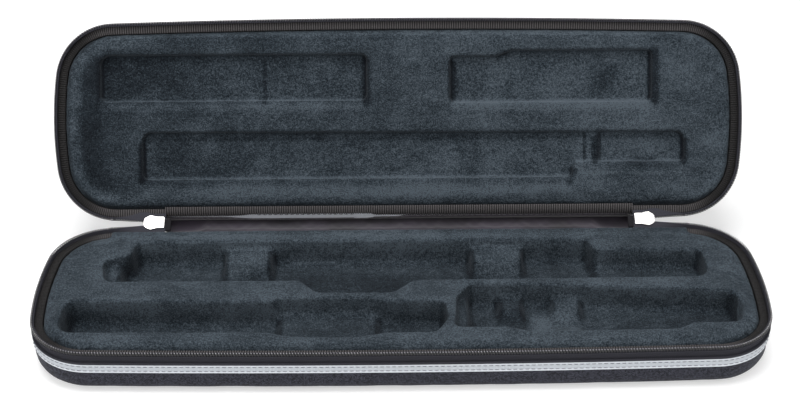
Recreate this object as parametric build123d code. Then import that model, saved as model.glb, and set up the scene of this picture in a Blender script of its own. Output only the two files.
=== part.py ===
from build123d import *
import math
import os

# Flute case, moulded in two halves that are joined by a cloth hinge and closed by a coil zip.
# Frame: +X along the case, +Y towards the hinge, +Z up, origin at the middle of the underside.
# Both halves are modelled as the base lies. The lid is then turned over onto it and swung open.
# An inset is measured inwards from the outermost line of the case, which is the face of the zip coil.

# Whole case, in millimetres and degrees
case_length = 420.0
case_depth = 122.5
half_height = 28.6
corner_radius = 36.0
front_bow = 3.2
end_bow = 7.7
bottom_round = 8.6
open_angle = 120.8
hinge_outset = 2.0

# Wall, from the outside to the inside
cover_inset = 0.9
cover_thickness = 1.2
shell_wall = 4.8
shell_floor = 3.0
rim_drop = 4.0
tiny_gap = 0.1

# Relief along the spine, where the walls lean inwards and the cloth hinge folds
relief_inset = 4.4
relief_depth = 5.5

# Reflective band round the wall
stripe_thickness = 0.5
stripe_width = 6.5
stripe_bottom = 14.5
stripe_lap = 8.0
stripe_lap_x = -20.0

# Ribbed binding round the rim
binding_thickness = 0.8
binding_leg = 0.9
binding_depth = 5.0

# Zip tape and coil
tape_thickness = 0.5
tape_edge_drop = 0.9
coil_thickness = 1.6
coil_height = 2.5
coil_gap = 0.05
tail_length = 20.6
tail_tape = 4.3

# Cloth hinge
strip_setback = 67.0
strip_thickness = 0.7
strip_seam_depth = 11.8
strip_seam_width = 3.7
strip_sag = 3.5

# Slider, on the line midway between the two halves
slider_gap = 0.4
slider_length = 12.0
slider_travel = 20.0
slider_rear_half = 3.6
slider_nose_half = 4.7
slider_tip_half = 2.6
slider_waist = 4.2
slider_shoulder = 8.4
slider_drop = 0.5
slider_plate = 1.0
slider_channel = 2.4
slider_slot = 0.8
slider_flange = 0.8
diamond_length = 3.6
diamond_half = 0.9
diamond_setback = 0.4

# Bridge over the slider, and the pull tab that hangs on it
bridge_middle = 5.0
bridge_length = 8.0
bridge_width = 1.6
bridge_height = 3.6
bridge_thickness = 1.1
bridge_corner = 2.2
pull_length = 23.0
pull_thickness = 1.3
pull_arm = 0.9
pull_clearance = 0.2
pull_eye = 4.8
pull_hole = 0.9
pull_hole_edge = 2.3
pull_round = 1.4

# Folded end of the zip
zip_end_length = 3.6
zip_end_half = 2.9
zip_end_thickness = 2.2
zip_end_round = 0.8

# Insert of the base and liner of the lid
lining_inset = 7.0
lining_drop = 1.2
lining_thickness = 1.5
shoulder_radius = 5.0
liner_sheet = 3.0
flap_inset = 3.4
flap_setback = 35.0
flap_width = 10.6
flap_round = 1.0
mouth_chamfer = 1.2
least_step = 1.0

# Hollows: floors above the underside, and depths of the lid's recesses below the top of its plush
lane_floor = 10.4
head_floor = 9.9
foot_floor = 10.9
tube_radius = 12.5
tube_rise = 14.0
lane_recess = 4.6
joint_recess = 5.5

# Worked-out places
half_length = case_length / 2
half_depth = case_depth / 2
strip_half_length = half_length - strip_setback
slider_start = strip_half_length + slider_gap
zip_end_x = slider_start + slider_length + tail_length
hinge_y = half_depth + hinge_outset
shell_inset = cover_inset + cover_thickness
cavity_inset = shell_inset + shell_wall
rebate_inset = cavity_inset - binding_leg
tape_inset = shell_inset - tape_thickness
stripe_inset = cover_inset - stripe_thickness
stripe_top = stripe_bottom + stripe_width
rim_height = half_height - rim_drop
binding_top = rim_height + binding_thickness
cavity_floor = cover_thickness + shell_floor
tray_top = half_height - lining_drop
tape_top = half_height - tape_edge_drop
coil_top = half_height - coil_gap
coil_bottom = coil_top - coil_height
channel_inner = -slider_drop - slider_channel / 2
channel_outer = -slider_drop + slider_channel / 2
bridge_seat = channel_outer + slider_plate
pull_pivot = bridge_seat + bridge_height - bridge_thickness - pull_thickness / 2 - pull_clearance
pull_half = bridge_width / 2 + pull_clearance + pull_arm
hinge_line = Axis((0, hinge_y, half_height), (-1, 0, 0))


def arc_radius(chord, bow):
    return (chord * chord / 4 + bow * bow) / (2 * bow)


def case_outline(inset):
    # Straight spine, a gently bowed front and more strongly bowed ends, with round corners.
    straight_depth = case_depth - front_bow
    front_radius = arc_radius(case_length - 2 * end_bow, front_bow)
    end_radius = arc_radius(straight_depth, end_bow)
    end_centre = (half_length - end_radius, front_bow / 2)
    face = Pos(0, -inset) * Rectangle(2 * case_length, case_depth)
    face &= Pos(0, front_radius - half_depth) * Circle(front_radius - inset)
    face &= Pos(end_centre[0], end_centre[1]) * Circle(end_radius - inset)
    face &= Pos(-end_centre[0], end_centre[1]) * Circle(end_radius - inset)
    return fillet(face.vertices(), corner_radius - inset)


def block(inset, bottom, top):
    return Pos(0, 0, bottom) * extrude(case_outline(inset), amount=top - bottom)


def ring(outer_inset, inner_inset, bottom, top):
    return block(outer_inset, bottom, top) - block(inner_inset, bottom, top)


def along_x(face, start, end):
    # Stands a section drawn as (y, z) upright and extrudes it from start to end along X.
    plane = Plane(origin=(start, 0, 0), x_dir=(0, 1, 0), z_dir=(1, 0, 0))
    return extrude(plane * face, amount=end - start)


def along_y(face, start, end):
    # Stands a face drawn as (x, z) upright and extrudes it from start to end along Y.
    plane = Plane(origin=(0, end, 0), x_dir=(1, 0, 0), z_dir=(0, -1, 0))
    return extrude(plane * face, amount=end - start)


def behind_spine(reach, bottom, top):
    # A box over the back half of the case, from -reach to reach along X.
    box = Box(2 * reach, case_depth, top - bottom, align=(Align.CENTER, Align.MIN, Align.MIN))
    return Pos(0, 0, bottom) * box


def relief_section(shift):
    # What the relief takes off the section of the spine, moved outwards by a shift.
    rim_y = half_depth - relief_inset + shift
    foot_y = half_depth - cover_inset + shift
    foot_z = rim_height - relief_depth
    top_y = rim_y - (foot_y - rim_y) / relief_depth * rim_drop
    far_y = foot_y + relief_inset
    points = [(top_y, half_height), (foot_y, foot_z), (far_y, foot_z), (far_y, half_height)]
    return make_face(Polyline(*points, close=True))


def spine_relief():
    return along_x(relief_section(0), -strip_half_length, strip_half_length)


def moulded(inset, bottom, top):
    # Outer form of the shell or its cover: rounded along the bottom and relieved at the spine.
    body = block(inset, bottom, top)
    radius = bottom_round - (inset - cover_inset)
    body = fillet(body.edges().group_by(Axis.Z)[0], radius)
    return body - spine_relief()


def shell():
    cavity = block(cavity_inset, cavity_floor, rim_height)
    rebate = block(rebate_inset, rim_height - binding_depth, rim_height)
    return moulded(shell_inset, cover_thickness, rim_height) - cavity - rebate


def cover():
    return moulded(cover_inset, 0, stripe_top) - moulded(shell_inset, cover_thickness, stripe_top)


def binding():
    # An L-shaped ring: a flange over the rim and a leg down inside it.
    flange = ring(shell_inset, cavity_inset, rim_height, binding_top)
    leg = ring(rebate_inset, cavity_inset, rim_height - binding_depth, rim_height)
    return flange + leg - spine_relief()


def zip_tape():
    # Full height round the three open sides, and only as high as the rim beside the hinge.
    tape = ring(tape_inset, shell_inset, stripe_top, tape_top)
    tape -= behind_spine(strip_half_length, stripe_top, tape_top)
    return tape - behind_spine(zip_end_x, rim_height, tape_top)


def zip_coil():
    coil = ring(tape_inset - coil_thickness, tape_inset, coil_bottom, coil_top)
    return coil - behind_spine(zip_end_x, coil_bottom, coil_top)


def stripe_ring():
    return ring(stripe_inset, cover_inset, stripe_bottom, stripe_top)


def base_stripe():
    reach = strip_half_length + 1
    return stripe_ring() - along_x(relief_section(stripe_thickness), -reach, reach)


def slope_band(start, end, lift):
    # A length of the band on the sloping wall of the relief, raised by a lift.
    top = rim_height - tiny_gap
    foot = rim_height - relief_depth
    under = along_x(relief_section(lift), start, end)
    over = along_x(relief_section(lift + stripe_thickness), start - 1, end + 1)
    keep = Box(end - start, case_depth, top - foot, align=(Align.MIN, Align.MIN, Align.MIN))
    return (under - over) & (Pos(start, 0, foot) * keep)


def lid_stripe():
    # Round the wall as on the base, but up on the slope at the spine, where its two ends lap.
    lap_start = stripe_lap_x - stripe_lap / 2
    lap_end = stripe_lap_x + stripe_lap / 2
    return [
        stripe_ring() - behind_spine(strip_half_length, stripe_bottom, stripe_top),
        slope_band(-strip_half_length, lap_start, 0),
        slope_band(lap_start, strip_half_length, 0),
        slope_band(lap_start - stripe_lap / 2, lap_end, stripe_thickness),
    ]


def pocket(corners, radii, floor, grow):
    # The space of one hollow, grown outwards by what lines it. The plush is eased round its mouth.
    face = make_face(FilletPolyline(*corners, radius=radii, close=True))
    if grow > 0:
        return Pos(0, 0, floor - grow) * extrude(offset(face, amount=grow), amount=half_height - floor + grow)
    space = Pos(0, 0, floor) * extrude(face, amount=half_height - floor)
    mouth = Pos(0, 0, tray_top - mouth_chamfer) * extrude(face, amount=mouth_chamfer + tiny_gap, taper=-45)
    return space + mouth


def stand(start, end, floor, height, grow):
    # A flat step that rises from the floor of a hollow.
    length = max(end - start - 2 * grow, least_step)
    step = Box(length, case_depth, height, align=(Align.CENTER, Align.CENTER, Align.MIN))
    return Pos((start + end) / 2, 0, floor - grow) * step


def cradle(start, end, floor, height, tube_y, grow):
    # A saddle across a hollow that the tube of the flute rests in.
    tube = Cylinder(tube_radius + grow, case_length, rotation=(0, 90, 0))
    return stand(start, end, floor, height, grow) - Pos(0, tube_y, floor + tube_rise) * tube


def body_lane(grow):
    corners = [
        (-172, 7.3), (-58.5, 6.6), (-49, -4.8), (-5, -5.3), (7, 6.6), (179.3, 7.8),
        (179.3, 33.4), (115.5, 34.6), (111.5, 45.0), (-158, 45.3), (-160, 33.0), (-175.5, 27.0),
    ]
    radii = [6, 6, 6, 6, 5, 8, 5, 5, 4, 4, 5, 5]
    space = pocket(corners, radii, lane_floor, grow)
    space -= stand(-190, -165, lane_floor, 9.5, grow)
    space -= cradle(-105, -77, lane_floor, 10.5, 21.0, grow)
    space -= cradle(42, 73, lane_floor, 10.5, 21.0, grow)
    return space - stand(115, 200, lane_floor, 3.5, grow)


def head_pocket(grow):
    corners = [
        (-191.5, -39), (-75, -40.3), (-62, -44.6), (-24.5, -44.9), (-10, -41.1), (19, -41.2), (26, -28),
        (24.5, -13.4), (-8, -13.3), (-18, -10.6), (-68, -10.4), (-75, -13.6), (-191.5, -11),
    ]
    radii = [9, 5, 5, 5, 5, 6, 5, 4, 6, 6, 5, 5, 7]
    space = pocket(corners, radii, head_floor, grow)
    return space - stand(-70, -14, head_floor, 4.5, grow)


def foot_pocket(grow):
    corners = [
        (29.5, -36.8), (59, -37.2), (71, -41.3), (153, -40.4), (162, -35.2), (189, -34.8), (193.5, -22),
        (191.5, -8), (166, -4), (128, -3.5), (114, -1.3), (40, 2.2), (31.5, -10),
    ]
    radii = [3, 5, 5, 5, 5, 6, 5, 6, 6, 6, 6, 4, 5]
    space = pocket(corners, radii, foot_floor, grow)
    space -= stand(10, 38, foot_floor, 9.0, grow)
    space -= cradle(56, 70, foot_floor, 6.0, -20.0, grow)
    return space - cradle(87, 103, foot_floor, 6.0, -20.0, grow)


def head_recess(grow):
    corners = [(-181.2, -39.3), (-19.3, -39.3), (-19.3, -11.4), (-181.2, -11.4)]
    return pocket(corners, [6, 3, 3, 4], tray_top - joint_recess, grow)


def foot_recess(grow):
    corners = [(31.2, -37.6), (60, -37.6), (68, -41.0), (154.4, -41.0), (154.4, -9.6), (31.2, -9.6)]
    return pocket(corners, [3, 6, 6, 3, 3, 3], tray_top - joint_recess, grow)


def lane_recess_space(grow):
    corners = [(-156.5, 7.5), (174.5, 8.8), (174.5, 27.0), (106, 27.0), (106, 36.2), (-156.5, 36.2)]
    floor = tray_top - lane_recess
    space = pocket(corners, [6, 6, 3, 5, 3, 4], floor, grow)
    return space - stand(114, 122, floor, 2.0, grow)


def tray(hollows, skin):
    # A cushion with round shoulders, lowered all over by a skin, with its hollows taken out.
    body = block(lining_inset + skin, cavity_floor, tray_top - skin)
    rounding = max(shoulder_radius - skin, 0.5)
    body = fillet(body.edges().group_by(Axis.Z)[-1], rounding)
    for hollow in hollows:
        body -= hollow(skin)
    return body


def spine_flap():
    # The plush runs on over the rim at the spine and ends under the cloth hinge.
    height = tray_top - binding_top - tiny_gap
    flap = Box(case_length - 2 * flap_setback, flap_width, height, align=(Align.CENTER, Align.MAX, Align.MAX))
    flap = Pos(0, half_depth - flap_inset, tray_top) * flap
    edge = flap.edges().filter_by(Axis.X).group_by(Axis.Y)[-1].sort_by(Axis.Z)[-1]
    return fillet(edge, flap_round)


base_hollows = [body_lane, head_pocket, foot_pocket]
lid_hollows = [head_recess, foot_recess, lane_recess_space]


def base_insert():
    return tray(base_hollows, lining_thickness)


def base_lining():
    return tray(base_hollows, 0) + spine_flap() - base_insert()


def lid_insert():
    # A moulded sheet that follows the liner and is hollow behind.
    return tray(lid_hollows, lining_thickness) - tray(lid_hollows, lining_thickness + liner_sheet)


def lid_lining():
    return tray(lid_hollows, 0) - tray(lid_hollows, lining_thickness)


def onto_lid(shape):
    # Turns a shape of the base half over onto the closed lid and swings it open.
    closed = mirror(shape, about=Plane.XY.offset(half_height))
    return closed.rotate(hinge_line, open_angle)


def opened(out, rise, angle):
    # A point given from the hinge line, as outwards and upwards, after it swings open by an angle.
    turn = math.radians(angle)
    y = out * math.cos(turn) + rise * math.sin(turn)
    z = rise * math.cos(turn) - out * math.sin(turn)
    return hinge_y + y, half_height + z


def hinge_strip():
    # Lies on the edge of the plush, hangs across the gap and is sewn to the outside of the lid.
    half = strip_thickness / 2
    edge_y = half_depth - flap_inset
    seam_out = half + tiny_gap - cover_inset - hinge_outset
    path = FilletPolyline(
        (edge_y - 0.6, tray_top + half + tiny_gap),
        (edge_y + 1.5, tray_top - half),
        (hinge_y - 0.4, tray_top - strip_sag + 1.3),
        (hinge_y + 5.2, tray_top - strip_sag),
        opened(seam_out, strip_seam_depth, open_angle),
        opened(seam_out, strip_seam_depth + strip_seam_width, open_angle),
        radius=1.5,
    )
    return along_x(trace(path, line_width=strip_thickness), -strip_half_length, strip_half_length)


def midway(shape):
    # Places a shape drawn from the closed hinge line halfway between the base and the open lid.
    return (Pos(0, hinge_y, half_height) * shape).rotate(hinge_line, open_angle / 2)


def to_midway(y, z):
    # A point of the base seen from the frame that midway() places.
    turn = math.radians(open_angle / 2)
    out = y - hinge_y
    rise = z - half_height
    return out * math.cos(turn) - rise * math.sin(turn), out * math.sin(turn) + rise * math.cos(turn)


def section_at(x, points):
    # A four-cornered section across X, given as (outwards, upwards) from the hinge line.
    return make_face(Polyline(*[(x, out, rise) for out, rise in points], close=True))


def rectangle(low, high, near, far):
    return [(low, near), (high, near), (high, far), (low, far)]


def tail_stations():
    # Where the free end of the zip is along X, and how far its coil stands off the middle there.
    nose = slider_start + slider_length
    diamond_x = nose - diamond_setback - diamond_length / 2
    return [
        (nose + 1, diamond_half + 0.2),
        (diamond_x, diamond_half + 0.1),
        (diamond_x - diamond_length / 2 - 0.4, coil_gap),
        (slider_start - 0.2, coil_gap),
    ]


def tail(low, high, length, start_points):
    # One strand of the free end, from the corner of the base through the slider.
    sections = [section_at(zip_end_x - tiny_gap, start_points)]
    for x, stand_off in tail_stations():
        sections.append(section_at(x, rectangle(low, high, -stand_off, -stand_off - length)))
    return loft(sections, ruled=True)


def zip_tail():
    # Both tapes and both coils between the corners and the end of the zip, on the right-hand side.
    coil_y = half_depth - tape_inset
    coil_start = [
        to_midway(y, z)
        for y, z in rectangle(coil_y, coil_y + coil_thickness, coil_top, coil_bottom)
    ]
    tape_y = half_depth - shell_inset
    tape_start = [
        to_midway(y, z)
        for y, z in rectangle(tape_y, tape_y + tape_thickness, tape_top, binding_top + tiny_gap)
    ]
    tape_low = channel_inner + tiny_gap
    coil_low = tape_low + tape_thickness + tiny_gap
    strands = [
        tail(coil_low, coil_low + coil_thickness, coil_height, coil_start),
        tail(tape_low, tape_low + tape_thickness, tail_tape, tape_start),
    ]
    strands += [mirror(strand, about=Plane.XY) for strand in strands]
    return [midway(strand) for strand in strands]


def both_sides(upper):
    # Corners above the middle line, followed by their mirror images on the way back.
    return upper + [(x, -z) for x, z in reversed(upper)]


def plate_outline():
    # Seen through its thickness: square behind, wider and rounded at the nose.
    upper = [
        (0, slider_rear_half),
        (slider_waist, slider_rear_half),
        (slider_shoulder, slider_nose_half),
        (slider_length, slider_tip_half),
    ]
    radii = [0.6, 3.0, 2.5, 2.0]
    return make_face(FilletPolyline(*both_sides(upper), radius=radii + radii[::-1], close=True))


def channel_outline():
    # The space between the flanges, open at both ends.
    upper = [
        (-1, slider_rear_half - slider_flange),
        (slider_waist, slider_rear_half - slider_flange),
        (slider_shoulder, slider_nose_half - slider_flange),
        (slider_length + 1, slider_nose_half - slider_flange),
    ]
    return make_face(Polyline(*both_sides(upper), close=True))


def diamond_outline():
    middle = slider_length - diamond_setback - diamond_length / 2
    half = diamond_length / 2
    corners = [(middle - half, 0), (middle, diamond_half), (middle + half, 0), (middle, -diamond_half)]
    return make_face(Polyline(*corners, close=True))


def slider_body():
    # Two plates joined by the diamond at the nose, with flanges that leave a slot for the tape.
    plate = plate_outline()
    rails = plate - channel_outline()
    body = along_y(plate, channel_inner - slider_plate, channel_inner)
    body += along_y(plate, channel_outer, bridge_seat)
    body += along_y(rails, channel_inner + slider_slot, channel_outer)
    body += along_y(diamond_outline(), channel_inner, channel_outer)
    return body + slider_bridge()


def slider_bridge():
    # A low arch along the slider that the pull hangs on.
    inner_length = bridge_length - 2 * bridge_thickness
    inner_height = bridge_height - bridge_thickness
    arch = RectangleRounded(bridge_length, 2 * bridge_height, bridge_corner)
    arch -= RectangleRounded(inner_length, 2 * inner_height, bridge_corner - bridge_thickness)
    arch = extrude(arch, amount=bridge_width / 2, both=True)
    keep = Box(bridge_length, bridge_height, bridge_width, align=(Align.CENTER, Align.MIN, Align.CENTER))
    return Pos(bridge_middle, bridge_seat, 0) * (arch & keep)


def pull():
    # A flat tab with a long eye: its round bar lies under the bridge and its arms pass beside it.
    eye_half = bridge_width / 2 + pull_clearance
    tab = RectangleRounded(2 * pull_half, 2 * pull_length, pull_round)
    tab -= Rectangle(2 * eye_half, 2 * pull_eye)
    tab -= Pos(0, pull_length - pull_hole_edge) * Circle(pull_hole)
    plane = Plane(origin=(0, 0, 0), x_dir=(0, 0, 1), z_dir=(1, 0, 0))
    tab = extrude(plane * tab, amount=pull_thickness / 2, both=True)
    keep = Box(pull_thickness, pull_length + 1, 2 * pull_half, align=(Align.CENTER, Align.MIN, Align.CENTER))
    bar = Cylinder(pull_thickness / 2, 2 * pull_half)
    return Pos(bridge_middle, pull_pivot, 0) * ((tab & keep) + bar)


def zip_end():
    # The two tapes folded over and sewn together beyond the slider.
    block_end = Box(zip_end_length, zip_end_thickness, 2 * zip_end_half)
    block_end = fillet(block_end.edges().filter_by(Axis.Y), zip_end_round)
    return Pos(-zip_end_length / 2 - slider_gap, -slider_drop, 0) * block_end


def at_slider(shape):
    return midway(Pos(slider_start, 0, 0) * shape)


def write(name, shapes):
    solids = shapes if isinstance(shapes, list) else [shapes]
    whole = Compound(children=[solid for shape in solids for solid in shape.solids()])
    export_step(whole, f"parts/{name}.step")


def write_pair(name, shapes):
    # The right-hand piece as modelled and its mirror image on the left.
    write(f"{name}_right", shapes)
    write(f"{name}_left", [mirror(shape, about=Plane.YZ) for shape in shapes])


os.makedirs("parts", exist_ok=True)

write("base_shell", shell())
write("base_cover", cover())
write("base_insert", base_insert())
write("base_lining", base_lining())
write("base_binding", binding())
write("base_zip_tape", zip_tape())
write("base_zip_coil", zip_coil())
write("base_stripe", base_stripe())

write("lid_shell", onto_lid(shell()))
write("lid_cover", onto_lid(cover()))
write("lid_insert", onto_lid(lid_insert()))
write("lid_lining", onto_lid(lid_lining()))
write("lid_binding", onto_lid(binding()))
write("lid_zip_tape", onto_lid(zip_tape()))
write("lid_zip_coil", onto_lid(zip_coil()))
write("lid_stripe", [onto_lid(piece) for piece in lid_stripe()])

write("hinge_strip", hinge_strip())
write_pair("zip_tail", zip_tail())
write_pair("zip_end", [at_slider(zip_end())])
write_pair("slider", [at_slider(slider_body())])
write_pair("pull", [at_slider(pull())])
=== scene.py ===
import bpy
import bmesh
import math
from mathutils import Matrix, Vector, kdtree, noise


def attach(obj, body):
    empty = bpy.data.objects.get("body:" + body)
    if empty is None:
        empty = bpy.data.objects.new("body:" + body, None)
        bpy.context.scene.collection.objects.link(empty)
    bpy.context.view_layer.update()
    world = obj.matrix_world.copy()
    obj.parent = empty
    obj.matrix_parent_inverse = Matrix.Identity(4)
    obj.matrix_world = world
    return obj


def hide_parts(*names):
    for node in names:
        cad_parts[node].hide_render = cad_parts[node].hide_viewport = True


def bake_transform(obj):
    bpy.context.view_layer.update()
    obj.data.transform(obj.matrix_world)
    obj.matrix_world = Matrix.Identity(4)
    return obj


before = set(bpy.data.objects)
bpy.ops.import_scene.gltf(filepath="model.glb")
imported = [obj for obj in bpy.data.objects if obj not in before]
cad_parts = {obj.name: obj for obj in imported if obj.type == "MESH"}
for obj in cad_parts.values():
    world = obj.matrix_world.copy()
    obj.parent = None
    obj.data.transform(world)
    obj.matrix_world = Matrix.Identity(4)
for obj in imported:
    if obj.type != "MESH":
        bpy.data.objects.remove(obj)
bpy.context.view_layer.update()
print("frame loaded:", len(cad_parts), "nodes")

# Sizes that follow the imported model, in metres. Both halves are worked out as the base lies.
case = {
    "halfLength": 0.210,
    "halfDepth": 0.06125,
    "frontBow": 0.0032,
    "endBow": 0.0077,
    "cornerRadius": 0.036,
    "halfHeight": 0.0286,
    "hingeOut": 0.002,
    "openAngle": 120.8,
    "stripHalf": 0.143,
    "zipEnd": 0.176,
}
openTurn = math.radians(case["openAngle"])
hingePoint = Vector((0, case["halfDepth"] + case["hingeOut"], case["halfHeight"]))


# Small helpers for meshes, places and nodes.

def addObject(name, mesh):
    made = bpy.data.objects.new(name, mesh)
    bpy.context.scene.collection.objects.link(made)
    return made


def meshObject(name, points, faces, smooth=True):
    mesh = bpy.data.meshes.new(name)
    mesh.from_pydata([tuple(p) for p in points], [], faces)
    mesh.validate()
    mesh.polygons.foreach_set("use_smooth", [smooth] * len(mesh.polygons))
    return addObject(name, mesh)


def turnedAbout(point, angle):
    return Matrix.Translation(point) @ Matrix.Rotation(angle, 4, "X") @ Matrix.Translation(-point)


# A piece of the base, mirrored in the parting plane and swung open, is the same piece of the lid.
lidMirror = Matrix.Translation((0, 0, 2 * case["halfHeight"])) @ Matrix.Scale(-1, 4, (0, 0, 1))
lidPlace = turnedAbout(hingePoint, -openTurn) @ lidMirror


def copyToLid(source, name):
    mesh = source.data.copy()
    mesh.transform(lidPlace)
    mesh.flip_normals()
    return addObject(name, mesh)


def moveToLid(source, name):
    made = copyToLid(source, name)
    bpy.data.objects.remove(source)
    return made


def fillTree(tree, kind, inputs=None, **settings):
    made = tree.nodes.new(kind)
    for key, value in settings.items():
        setattr(made, key, value)
    for key, value in (inputs or {}).items():
        if isinstance(value, bpy.types.NodeSocket):
            tree.links.new(value, made.inputs[key])
        else:
            made.inputs[key].default_value = value
    return made


def mathNode(tree, operation, first, second=None):
    inputs = {0: first}
    if second is not None:
        inputs[1] = second
    return fillTree(tree, "ShaderNodeMath", inputs, operation=operation).outputs[0]


def plus(tree, first, second):
    return mathNode(tree, "ADD", first, second)


def times(tree, first, second):
    return mathNode(tree, "MULTIPLY", first, second)


def weighted(tree, first, firstShare, second, secondShare):
    return plus(tree, times(tree, first, firstShare), times(tree, second, secondShare))


def choose(tree, share, first, second):
    return fillTree(tree, "ShaderNodeMix", {0: share, 2: first, 3: second}, data_type="FLOAT").outputs[0]


def cloudAt(tree, place, scale, detail, **others):
    inputs = {"Vector": place, "Scale": scale, "Detail": detail, **others}
    return fillTree(tree, "ShaderNodeTexNoise", inputs).outputs["Fac"]


def startMaterial(name, roughness, **sockets):
    material = bpy.data.materials.new(name)
    material.use_nodes = True
    shader = material.node_tree.nodes["Principled BSDF"]
    for key, value in {"Roughness": roughness, **sockets}.items():
        shader.inputs[key].default_value = value
    return material, material.node_tree


# Path round the rim.

def arcRadius(chord, bow):
    return (chord * chord / 4 + bow * bow) / (2 * bow)


def circlesMeet(first, firstRadius, second, secondRadius):
    between = second - first
    gap = between.length
    along = (gap * gap + firstRadius ** 2 - secondRadius ** 2) / (2 * gap)
    across = math.sqrt(firstRadius ** 2 - along ** 2)
    unit = between / gap
    side = Vector((unit.y, -unit.x))
    return [first + unit * along + side * across, first + unit * along - side * across]


def rimHalf(spacing):
    # From the middle of the spine round the right-hand end to the middle of the front.
    depth, bow, corner = case["halfDepth"], case["endBow"], case["cornerRadius"]
    straight = 2 * depth - case["frontBow"]
    frontRadius = arcRadius(2 * (case["halfLength"] - bow), case["frontBow"])
    endRadius = arcRadius(straight, bow)
    front = Vector((0, frontRadius - depth))
    end = Vector((case["halfLength"] - endRadius, case["frontBow"] / 2))
    reach = math.sqrt((endRadius - corner) ** 2 - (depth - corner - end.y) ** 2)
    back = Vector((end.x + reach, depth - corner))
    fore = min(circlesMeet(front, frontRadius - corner, end, endRadius - corner), key=lambda p: (p.x < 0, p.y))

    def heading(centre, point):
        return math.atan2(point.y - centre.y, point.x - centre.x)

    pieces = [
        (back, corner, math.pi / 2, heading(end, back)),
        (end, endRadius, heading(end, back), heading(end, fore)),
        (fore, corner, heading(end, fore), heading(front, fore)),
        (front, frontRadius, heading(front, fore), -math.pi / 2),
    ]
    samples = []
    count = max(1, round(back.x / spacing))
    for i in range(count):
        samples.append((Vector((back.x * i / count, depth)), Vector((0, 1))))
    for centre, radius, start, stop in pieces:
        count = max(1, round(abs(stop - start) * radius / spacing))
        for i in range(count):
            turn = start + (stop - start) * i / count
            outward = Vector((math.cos(turn), math.sin(turn)))
            samples.append((centre + outward * radius, outward))
    samples.append((Vector((0, -depth)), Vector((0, -1))))
    return samples


def rimLoop(spacing):
    # The whole ring, clockwise from above. Each sample is a point at inset 0 and the way out there.
    right = rimHalf(spacing)
    left = [(Vector((-p.x, p.y)), Vector((-n.x, n.y))) for p, n in reversed(right)]
    return right + left[1:-1]


def besideHinge(point, limit):
    return point.y > case["halfDepth"] - 1e-6 and abs(point.x) < limit


def openRim(spacing, limit):
    # The ring without its straight stretch beside the hinge, where |x| is under the limit.
    kept = [(p, n) for p, n in rimLoop(spacing) if not besideHinge(p, limit)]
    ends = [(Vector((side * limit, case["halfDepth"])), Vector((0, 1))) for side in (1, -1)]
    return [ends[0]] + kept + [ends[1]]


def spineSamples(half, step):
    # The straight stretch beside the hinge.
    count = int(2 * half / step) + 1
    return [(Vector((-half + step * i, case["halfDepth"])), Vector((0, 1))) for i in range(count)]


def ringMesh(name, rows, smooth=True):
    # Rings of points, each joined to the next, with a cap at both ends.
    wide = len(rows[0])
    last = (len(rows) - 1) * wide
    faces = [(i + k, i + (k + 1) % wide, i + wide + (k + 1) % wide, i + wide + k)
             for i in range(0, last, wide) for k in range(wide)]
    faces += [tuple(range(wide)), tuple(reversed(range(last, last + wide)))]
    made = meshObject(name, [point for row in rows for point in row], faces, smooth)
    edit = bmesh.new()
    edit.from_mesh(made.data)
    bmesh.ops.recalc_face_normals(edit, faces=edit.faces)
    edit.to_mesh(made.data)
    edit.free()
    return made


def sweptStrip(name, samples, profile):
    # profile is a function that gives the list of (inset, height) for one sample.
    rows = [[(point.x - outward.x * w, point.y - outward.y * w, z) for w, z in profile(point, outward)]
            for point, outward in samples]
    return ringMesh(name, rows)


# Camera, floor and light.

view = {
    "place": (-0.0117, -0.6815, 0.5435),
    "target": (-0.00088, 0.0010, 0.08255),
    "lens": 66.72,
    "sensor": 36,
    "roll": 0.04,
}
camera = addObject("camera", bpy.data.cameras.new("camera"))
camera.data.lens = view["lens"]
camera.data.sensor_width = view["sensor"]
camera.location = view["place"]
aim = (Vector(view["target"]) - Vector(view["place"])).to_track_quat("-Z", "Y")
camera.rotation_mode = "QUATERNION"
camera.rotation_quaternion = aim @ Matrix.Rotation(math.radians(view["roll"]), 3, "Z").to_quaternion()
bpy.context.scene.camera = camera
bpy.context.scene.view_settings.view_transform = "Standard"

studio = {
    "lamps": {
        "front": {"place": (0.05, -1.20, 0.55), "size": 0.9, "power": 4.6},
        "left": {"place": (-1.0, -0.50, 0.80), "size": 0.8, "power": 5.0},
        "right": {"place": (1.0, -0.50, 0.75), "size": 0.8, "power": 4.0},
        "top": {"place": (-0.10, 0.05, 1.30), "size": 0.8, "power": 15.5},
    },
    "target": (0, 0.04, 0.03),
    "world": 0.34,
    "floor": (0.72, 0.72, 0.72, 1),
    "floorGlow": 0.42,
    "floorReach": 6,
    "floorDrop": 0.0003,
}
for lampName, values in studio["lamps"].items():
    lamp = bpy.data.lights.new(lampName, "AREA")
    lamp.size = values["size"]
    lamp.energy = values["power"]
    holder = addObject(lampName, lamp)
    holder.location = values["place"]
    holder.rotation_mode = "QUATERNION"
    holder.rotation_quaternion = (Vector(studio["target"]) - holder.location).to_track_quat("-Z", "Y")


def straightRays(tree):
    # 1 for what the camera sees, also in a mirror or through glass, and 0 for what lights the scene.
    rays = fillTree(tree, "ShaderNodeLightPath").outputs
    seen = mathNode(tree, "MAXIMUM", rays["Is Camera Ray"], rays["Is Glossy Ray"])
    return mathNode(tree, "MAXIMUM", seen, rays["Is Transmission Ray"])


world = bpy.data.worlds.new("studio")
bpy.context.scene.world = world
world.use_nodes = True
sky = world.node_tree
sky.nodes.clear()
strength = choose(sky, straightRays(sky), studio["world"], 1.0)
background = fillTree(sky, "ShaderNodeBackground", {"Color": (1, 1, 1, 1), "Strength": strength})
fillTree(sky, "ShaderNodeOutputWorld", {"Surface": background.outputs[0]})

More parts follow.
